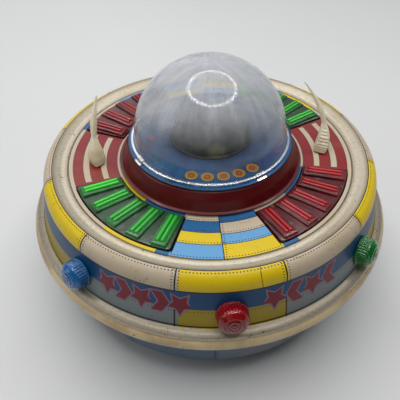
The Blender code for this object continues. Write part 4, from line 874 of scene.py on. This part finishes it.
def louvre(name, turn, finish):
    """One bar with two broad ridges. Across the bar, u from -1 to 1, a flat shoulder with rounded edges
    carries two bumps exp(-((|u| - 0.29) / 0.235)^4). Both ends fall to the sheet over a quarter circle."""
    half = 4.05 * MM
    first, last = WINDOW_R[0] + 1.1 * MM, WINDOW_R[1] - 1.1 * MM
    u = np.linspace(-1, 1, 61)[None, :]
    w = np.linspace(0, 1, 61)[:, None]
    radius = first + (last - first) * w
    from_end = np.minimum(radius - first, last - radius)
    end = np.sqrt(np.clip(1 - (1 - np.clip(from_end / (1.5 * MM), 0, 1)) ** 2, 0, 1))
    edge = np.sqrt(np.clip(1 - np.clip((np.abs(u) - 0.82) / 0.18, 0, 1) ** 2, 0, 1))
    run = np.clip((from_end - 1.9 * MM) / (0.9 * MM), 0, 1)
    ridge = np.exp(-((np.abs(u) - 0.29) / 0.235) ** 4) * run * run * (3 - 2 * run)
    height = (1.45 * edge + 1.15 * ridge) * end * MM
    across = u * half * (1 - 0.20 * (1 - end) ** 1.5)
    a = TURN(turn)
    x = radius * np.sin(a) + across * np.cos(a)
    y = -radius * np.cos(a) + across * np.sin(a)
    top = np.stack([x, y, deck_height(radius) + 0.75 * MM + height], -1)
    floor = top.copy()
    floor[..., 2] = deck_height(radius) + 0.3 * MM
    made = skin(name, np.concatenate([top, floor[:, ::-1]], 1), finish, caps=True, sharp=60.0)
    mark_ridges(made, 2.25 * MM)
    return made


def set_ridge(made, values):
    data = made.data.attributes.new("ridge", "FLOAT", "POINT").data
    data.foreach_set("value", values.astype(np.float32))


def mark_ridges(made, level):
    """The ridge attribute: how far each point stands over a level above the deck, in millimetres."""
    data = made.data
    place = np.empty(len(data.vertices) * 3)
    data.vertices.foreach_get("co", place)
    place = place.reshape(-1, 3)
    over = (place[:, 2] - deck_height(np.hypot(place[:, 0], place[:, 1])) - level) / MM
    set_ridge(made, np.clip(over, 0, 1))


def louvre_panel(place_name, turns, finish):
    """A window's sheet, marked -1 all over, with five bars on it."""
    gap, play = 0.7 * MM, 0.75
    sheet = deck_patch(f"sheet_{place_name}", (turns[0] + play, turns[1] - play),
                       (WINDOW_R[0] + gap, WINDOW_R[1] - gap), -1.8 * MM, 0.8 * MM, finish, 1.8, 0.35 * MM)
    set_ridge(sheet, np.full(len(sheet.data.vertices), -1.0))
    pitch = (turns[1] - turns[0]) / 5
    bars = [louvre(f"bar_{place_name}_{k}", turns[0] + (k + 0.5) * pitch, finish) for k in range(5)]
    return joined(f"louvres_{place_name}", [sheet] + bars)


# Collar, cockpit and dome

def collar_ring():
    foot = COLLAR_R - 1.6 * MM
    top_r = foot - 4.6 * MM
    line = eased([(COLLAR_R, COLLAR_LOW + 0.9 * MM), (foot, COLLAR_LOW + 1.1 * MM),
                  (foot - 2.0 * MM, COLLAR_LOW + 6.6 * MM), (top_r, COLLAR_TOP - 0.1 * MM),
                  (top_r - 4.0 * MM, COLLAR_TOP - 0.1 * MM)], 1.3 * MM, steps=6)
    return turned("collar_shell", sheet_loop(line, SHEET * 0.9), collar_red)


def cockpit_floor():
    bore = 20 * MM
    line = eased([(bore, SEAT_LOW), (SEAT_R - 0.1 * MM, SEAT_LOW), (SEAT_R, SEAT_TOP), (bore, SEAT_TOP)],
                 0.25 * MM, closed=True, steps=3)
    return turned("cockpit_plate", line, cockpit_blue)


def dome_shell():
    """A half sphere on a short straight wall with a flange, 1.2 mm thick."""
    wall, radius = 1.2 * MM, FLANGE_R - 1.8 * MM
    shoulder = DOME_LOW + 2.0 * MM
    rise = DOME_TOP - shoulder
    outer = ellipse((0, shoulder), (radius, rise), 0, 90, 44)
    inner = ellipse((0, shoulder), (radius - wall, rise - wall), 90, 0, 44)
    foot = eased([(radius - wall, DOME_LOW), (FLANGE_R, DOME_LOW), (FLANGE_R, DOME_LOW + 1.2 * MM),
                  (radius, DOME_LOW + 1.2 * MM), (radius, shoulder)], 0.35 * MM, steps=4)
    outer[-1, 0] = inner[0, 0] = 0.0
    line = np.vstack([foot, outer[1:], inner])
    return turned("dome_shell", line, dome_plastic, sharp=50.0)


def flange_ring():
    """A thin bright ring clamped over the dome's flange: a bent strip, turned."""
    line = eased([(FLANGE_R + 0.2 * MM, SEAT_TOP + 0.05 * MM), (FLANGE_R + 0.2 * MM, DOME_LOW + 1.35 * MM),
                  (FLANGE_R - 1.0 * MM, DOME_LOW + 1.4 * MM)], 0.35 * MM, steps=4)
    return turned("dome_ring", sheet_loop(line, 0.15 * MM), bright_tin)


def lens_cap():
    radius = LENS_R - 1.4 * MM
    rise = LENS_TOP - LENS_LOW
    a = ellipse((0, LENS_LOW), (radius, rise), 4, 90, 28)
    b = ellipse((0, LENS_LOW), (radius - 1.2 * MM, rise - 1.2 * MM), 90, 0, 28)
    a[-1, 0] = b[0, 0] = 0.0
    foot = [(radius - 1.2 * MM, LENS_LOW), (LENS_R, LENS_LOW), (LENS_R, LENS_LOW + 0.9 * MM)]
    line = np.vstack([foot, a, b])
    return turned("beacon_lens_cap", line, lens_plastic, sides=120)


def lamp_cap(place_name, turn, finish):
    """A fluted drum with a rounded front. The drum swells by 0.45 mm |cos(15 a)| round it; the front carries
    concentric steps of 0.22 mm, cos(2 pi r / 1.9 mm)."""
    r0, length, drum = 7.7 * MM, 8.6 * MM, 4.6 * MM
    t = TURN(np.linspace(2, 90, 56))
    nose = np.stack([0.94 * r0 * np.cos(t) ** 0.75, drum + (length - drum) * np.sin(t) ** 1.1], 1)
    step = 0.5 + 0.5 * np.cos(nose[:, 0] / (1.9 * MM) * 2 * np.pi)
    nose[:, 1] -= 0.22 * MM * step * (nose[:, 0] < 0.82 * r0)
    nose[-1, 0] = 0.0
    foot = eased([(r0 - 1.1 * MM, 0.3 * MM), (r0, 0.3 * MM), (r0, 1.1 * MM), (0.95 * r0, 1.3 * MM),
                  (0.94 * r0, drum)], 0.3 * MM, steps=4)
    inner = np.array([(0.0, length - 1.4 * MM), (0.45 * r0, 0.80 * length), (0.72 * r0, 0.60 * length),
                      (r0 - 1.6 * MM, 1.5 * MM)])
    line = np.vstack([foot, nose, inner])
    sides = 256
    grid = turned_grid(line, sides)
    a = around(sides)
    outside = np.arange(len(line)) < len(line) - len(inner)
    swell = 0.45 * MM * np.exp(-((line[:, 1] - 3.4 * MM) / (2.3 * MM)) ** 4) * outside
    flute = np.abs(np.cos(15 * a)) - 1.0
    scale = 1 + swell[:, None] * flute[None, :] / np.maximum(line[:, :1], 1e-4)
    grid[..., :2] *= scale[..., None]
    made = skin(f"lamp_{place_name}_cap", grid, finish, sharp=50.0)
    return seated(made, lamp_matrix(turn))


HORN_LEVELS = np.array([
    (0.0, 4.2, 4.8), (0.10, 4.9, 5.3), (0.22, 4.0, 4.5), (0.34, 2.5, 3.0), (0.42, 1.5, 1.9), (0.50, 1.8, 2.2),
    (0.62, 2.0, 2.5), (0.80, 1.2, 1.5), (1.0, 0.4, 0.5),
])


def horn(node, spin, waist, tip, grooved):
    """A horn lofted up its height. A level at share s is a rounded diamond, (cos^1.6, sin^1.6) times its
    half widths, moved inwards and back by slope s + bend s^2, which goes through the waist and the tip."""
    side = 1.0 if middle(node).x > 0 else -1.0
    x, y = horn_seat(node)
    base = deck_height(HORN_R) + 0.9 * MM
    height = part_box(node)[1].z - base
    neck = 0.42
    waist, tip = np.array(waist), np.array(tip)
    bend = (tip - waist / neck) / (1 - neck)
    s = np.linspace(0, 1, 120)[:, None]
    path = (tip - bend) * s + bend * s * s
    wide = rounded_levels(s, 1)
    deep = rounded_levels(s, 2)
    a = TURN(np.arange(48) * 7.5)[None, :]
    u = wide * np.sign(np.cos(a)) * np.abs(np.cos(a)) ** 1.6
    v = deep * np.sign(np.sin(a)) * np.abs(np.sin(a)) ** 1.6
    if grooved:
        teeth = np.cos(s * 2 * np.pi * 22.0) < 0.1
        facet = (s > 0.07) * (s < 0.36) * (np.cos(a) < -0.12) * (np.cos(a) > -0.92) * (np.sin(a) < 0)
        cut = 1 - 0.13 * teeth * facet
        u, v = u * cut, v * cut
    turn = TURN(spin)
    gx = x / MM - side * path[:, :1] + u * np.cos(turn) - v * np.sin(turn)
    gy = y / MM + path[:, 1:] + u * np.sin(turn) + v * np.cos(turn)
    grid = np.stack([gx * MM, gy * MM, base + height * s + 0 * a], -1)
    ring_x, ring_y = x + 1.5 * MM * np.cos(a[0]), y + 1.5 * MM * np.sin(a[0])
    pin = np.stack([np.stack([ring_x, ring_y, np.full(a.size, z)], -1) for z in (base - 6 * MM, base)])
    return skin(f"{node}_horn", np.concatenate([pin, grid]), ivory, caps=True, sharp=32.0)


def rounded_levels(shares, column):
    """A column of the horn's levels at many shares, its corners eased by five passes of (1, 2, 1) / 4."""
    value = np.interp(shares[:, 0], HORN_LEVELS[:, 0], HORN_LEVELS[:, column])
    for _ in range(5):
        value[1:-1] = (value[:-2] + value[1:-1] * 2 + value[2:]) / 4
    return value[:, None]


def tab(name, turn, finish):
    """A tongue of the cockpit plate folded over the dome's flange."""
    half = 3.6
    line = eased([(FLANGE_R + 1.9 * MM, SEAT_TOP + 0.05 * MM), (FLANGE_R + 0.6 * MM, SEAT_TOP + 0.2 * MM),
                  (FLANGE_R + 0.5 * MM, DOME_LOW + 1.75 * MM), (FLANGE_R - 1.5 * MM, DOME_LOW + 1.8 * MM)],
                 0.4 * MM, steps=4)
    loop = sheet_loop(line, 0.3 * MM)
    t = np.linspace(turn - half, turn + half, 12)
    a = TURN(t)[:, None]
    r, z = loop[:, 0][None, :], loop[:, 1][None, :]
    grid = np.stack([r * np.sin(a), -r * np.cos(a), z + 0 * a], -1)
    return skin(name, grid, finish, caps=True)


def tyre_ring(node):
    """A tyre with a shallow tread: across its width the radius is rounded off at both edges, and round it
    24 shallow notches."""
    low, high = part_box(node)
    centre = (low + high) / 2
    outer, half = (high.z - low.z) / 2, (high.x - low.x) / 2
    bore = outer - 2.4 * MM
    edge, drop = outer - 0.5 * MM, half - 0.8 * MM
    section = eased([(bore, -half), (edge, -half), (outer, -drop), (outer, drop), (edge, half), (bore, half)],
                    0.5 * MM, closed=True, steps=4)
    sides = 192
    grid = turned_grid(section, sides)
    a = around(sides)
    cut = (np.cos(24 * a) > 0.55)[None, :] * (section[:, 0] > outer - 0.4 * MM)[:, None] * 0.35 * MM
    grid[..., :2] *= (1 - cut / np.maximum(section[:, :1], 1e-4))[..., None]
    made = skin(f"{node}_tread", grid, tyre, (True, True), sharp=45.0)
    return seated(made, Matrix.Translation(centre) @ Matrix.Rotation(np.pi / 2, 4, "Y"))


def put(made, body, slot, *nodes):
    """Sets a piece riding and hides the CAD nodes that it stands for. The slot is not used."""
    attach(made, body)
    if nodes:
        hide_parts(*nodes)
    return made


for made, slot, node in (
    (upper_hull(), "printed_band", "upper_hull"), (rim_bead(), "ivory_rim", "rim_bead"),
    (lower_hull(), "pale_tin", "lower_hull"), (deck_plate(), "printed_deck", "deck_plate"),
):
    put(made, "hull", slot, node)
for place_name, turns in WINDOWS.items():
    is_green = place_name in ("front_left", "back_right")
    put(louvre_panel(place_name, turns, green_louvre if is_green else red_louvre), "hull",
        "green_clear" if is_green else "red_clear", f"louvre_panel_{place_name}")
put(collar_ring(), "hull", "dark_red_tin", "collar_ring")
put(cockpit_floor(), "hull", "blue_tin", "cockpit_floor")
put(dome_shell(), "hull", "clear_dome", "dome")
put(flange_ring(), "hull", "bright_mirror")
put(lens_cap(), "hull", "smoked_green", "beacon_lens")
for k, turn in enumerate((29.0, -62.0, 119.0, -151.0)):
    put(tab(f"dome_tab_{k + 1}", turn, bright_tin), "hull", "bright_mirror")
for place_name, paint, slot in (("left", lamp_blue, "blue_clear"), ("front", lamp_red, "red_clear"),
                                ("right", lamp_green, "green_clear")):
    put(lamp_cap(place_name, LAMP_TURNS[place_name], paint), "hull", slot, f"lamp_cap_{place_name}")
for node, *shape in (("antenna_left", -4.0, (-0.4, 6.2), (3.1, 18.2), False),
                     ("antenna_right", 18.0, (-2.1, 8.1), (8.6, 22.6), True)):
    put(horn(node, *shape), node, "ivory_plastic", node)
for side in ("left", "right"):
    put(tyre_ring(f"drive_tyre_{side}"), "drive_wheels", "black_rubber", f"drive_tyre_{side}")

# CAD nodes that stay, and their finishes
CARRIED = (
    (steel, "beacon_bridge beacon_post chassis_channel gearbox_plate gearbox_post_1 gearbox_post_2 "
            "gearbox_post_3 gearbox_post_4 motor_can drive_axle rear_axle rear_bracket_left "
            "rear_bracket_right contact_front contact_back_left contact_back_right turret_frame "
            "lamp_socket_left lamp_socket_front lamp_socket_right"),
    (brass, "motor_pinion"),
    (white_nylon, "main_gear beacon_gear drive_wheel_left drive_wheel_right"),
    (mirror, "beacon_rotor"),
    (black_plastic, "battery_box switch_housing switch_knob rear_wheel_left rear_wheel_right"),
    (bulb_clear, "beacon_bulb lamp_bulb_left lamp_bulb_front lamp_bulb_right"),
    (cell_paint, "cell_left cell_right"),
    (pan_paint, "battery_door"),
)
for finish, nodes in CARRIED:
    for node in nodes.split():
        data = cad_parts[node].data
        for index in range(len(data.materials)):
            data.materials[index] = finish.material


# Floor, light and camera

FLOOR_HALF = 3.0
KEY_X, KEY_Y, KEY_Z, KEY_SIZE, KEY_POWER = 0.05, 0.14, 0.95, 0.86, 1.9
RING_COUNT, RING_RADIUS, RING_Z, RING_SIZE, RING_POWER = 32, 0.46, 0.94, 0.082, 0.25
SKY_FRONT, SKY_BACK = (-0.6, 0.07), (0.8, 0.42)
LENS_MM, SENSOR_MM = 36.135, 36.0
LOOK_DOWN, LOOK_ROUND, LOOK_ROLL, LOOK_FAR, LOOK_Z = TURN(43.6), TURN(6.0), TURN(0.46), 262.0 * MM, 48.0 * MM


def floor():
    """A wide pale sweep under the toy."""
    f = Finish("floor_pale")
    mottle = f.noise(3.0, 2.0)
    f.apply(colour=f.blend(srgb(214, 214, 212), srgb(206, 206, 205), mottle), roughness=0.55)
    data = bpy.data.meshes.new("floor")
    corners = [(x, y, 0.0) for y in (-FLOOR_HALF, FLOOR_HALF) for x in (-FLOOR_HALF, FLOOR_HALF)]
    data.from_pydata(corners, [], [(0, 1, 3, 2)])
    data.materials.append(f.material)
    linked("floor", data)


def softbox(name, place, size, power, target=(0, 0, 0.08)):
    """A round area light whose -Z points at a target."""
    data = bpy.data.lights.new(name, "AREA")
    data.shape, data.size, data.energy = "DISK", size, power
    made = linked(name, data)
    made.location = place
    made.rotation_euler = (Vector(target) - made.location).to_track_quat("-Z", "Y").to_euler()


def light():
    """A dim sky that brightens towards the back, a round light overhead ringed by small ones, and a weak
    fill from the front."""
    scene = bpy.context.scene
    scene.view_settings.view_transform = "Standard"
    world = bpy.data.worlds.new("studio")
    scene.world = world
    world.use_nodes = True
    nodes, links = world.node_tree.nodes, world.node_tree.links
    back = nodes["Background"]
    back.inputs[0].default_value = (0.86, 0.90, 0.96, 1.0)
    where = nodes.new("ShaderNodeTexCoord")
    split = nodes.new("ShaderNodeSeparateXYZ")
    rise = nodes.new("ShaderNodeMapRange")
    links.new(where.outputs["Generated"], split.inputs[0])
    links.new(split.outputs["Y"], rise.inputs[0])
    for socket, value in ((1, SKY_FRONT[0]), (2, SKY_BACK[0]), (3, SKY_FRONT[1]), (4, SKY_BACK[1])):
        rise.inputs[socket].default_value = value
    links.new(rise.outputs[0], back.inputs[1])
    softbox("key_above", (KEY_X, KEY_Y, KEY_Z), KEY_SIZE, KEY_POWER)
    for k, a in enumerate(around(RING_COUNT)):
        x, y = KEY_X + RING_RADIUS * np.cos(a), KEY_Y + RING_RADIUS * np.sin(a)
        softbox(f"ring_{k}", (x, y, RING_Z), RING_SIZE, RING_POWER, target=(x, y, 0.0))
    softbox("back_wide", (-0.5, 1.3, 0.75), 1.3, 3.2)
    softbox("left_wide", (-1.25, -0.1, 0.85), 0.9, 3.0)
    softbox("front_fill", (-0.6, -1.3, 0.8), 1.0, 0.7)


def camera():
    """A 36.1 mm lens 262 mm from the middle of the rim, looking down by 43.6 degrees from 6 degrees left of
    the front."""
    data = bpy.data.cameras.new("camera")
    data.lens, data.sensor_width, data.clip_start = LENS_MM, SENSOR_MM, 0.01
    data.shift_x, data.shift_y = -0.0248, -0.025
    made = linked("camera", data)
    level, turn = np.cos(LOOK_DOWN), LOOK_ROUND
    forward = Vector((np.sin(turn) * level, np.cos(turn) * level, -np.sin(LOOK_DOWN)))
    right = forward.cross(Vector((0, 0, 1))).normalized()
    up = right.cross(forward)
    across = right * np.cos(LOOK_ROLL) + up * np.sin(LOOK_ROLL)
    upright = across.cross(forward)
    turned_by = Matrix((across, upright, -forward)).transposed()
    place = Vector((0, 0, LOOK_Z)) - forward * LOOK_FAR
    made.matrix_world = Matrix.Translation(place) @ turned_by.to_4x4()
    bpy.context.scene.camera = made


floor()
light()
camera()
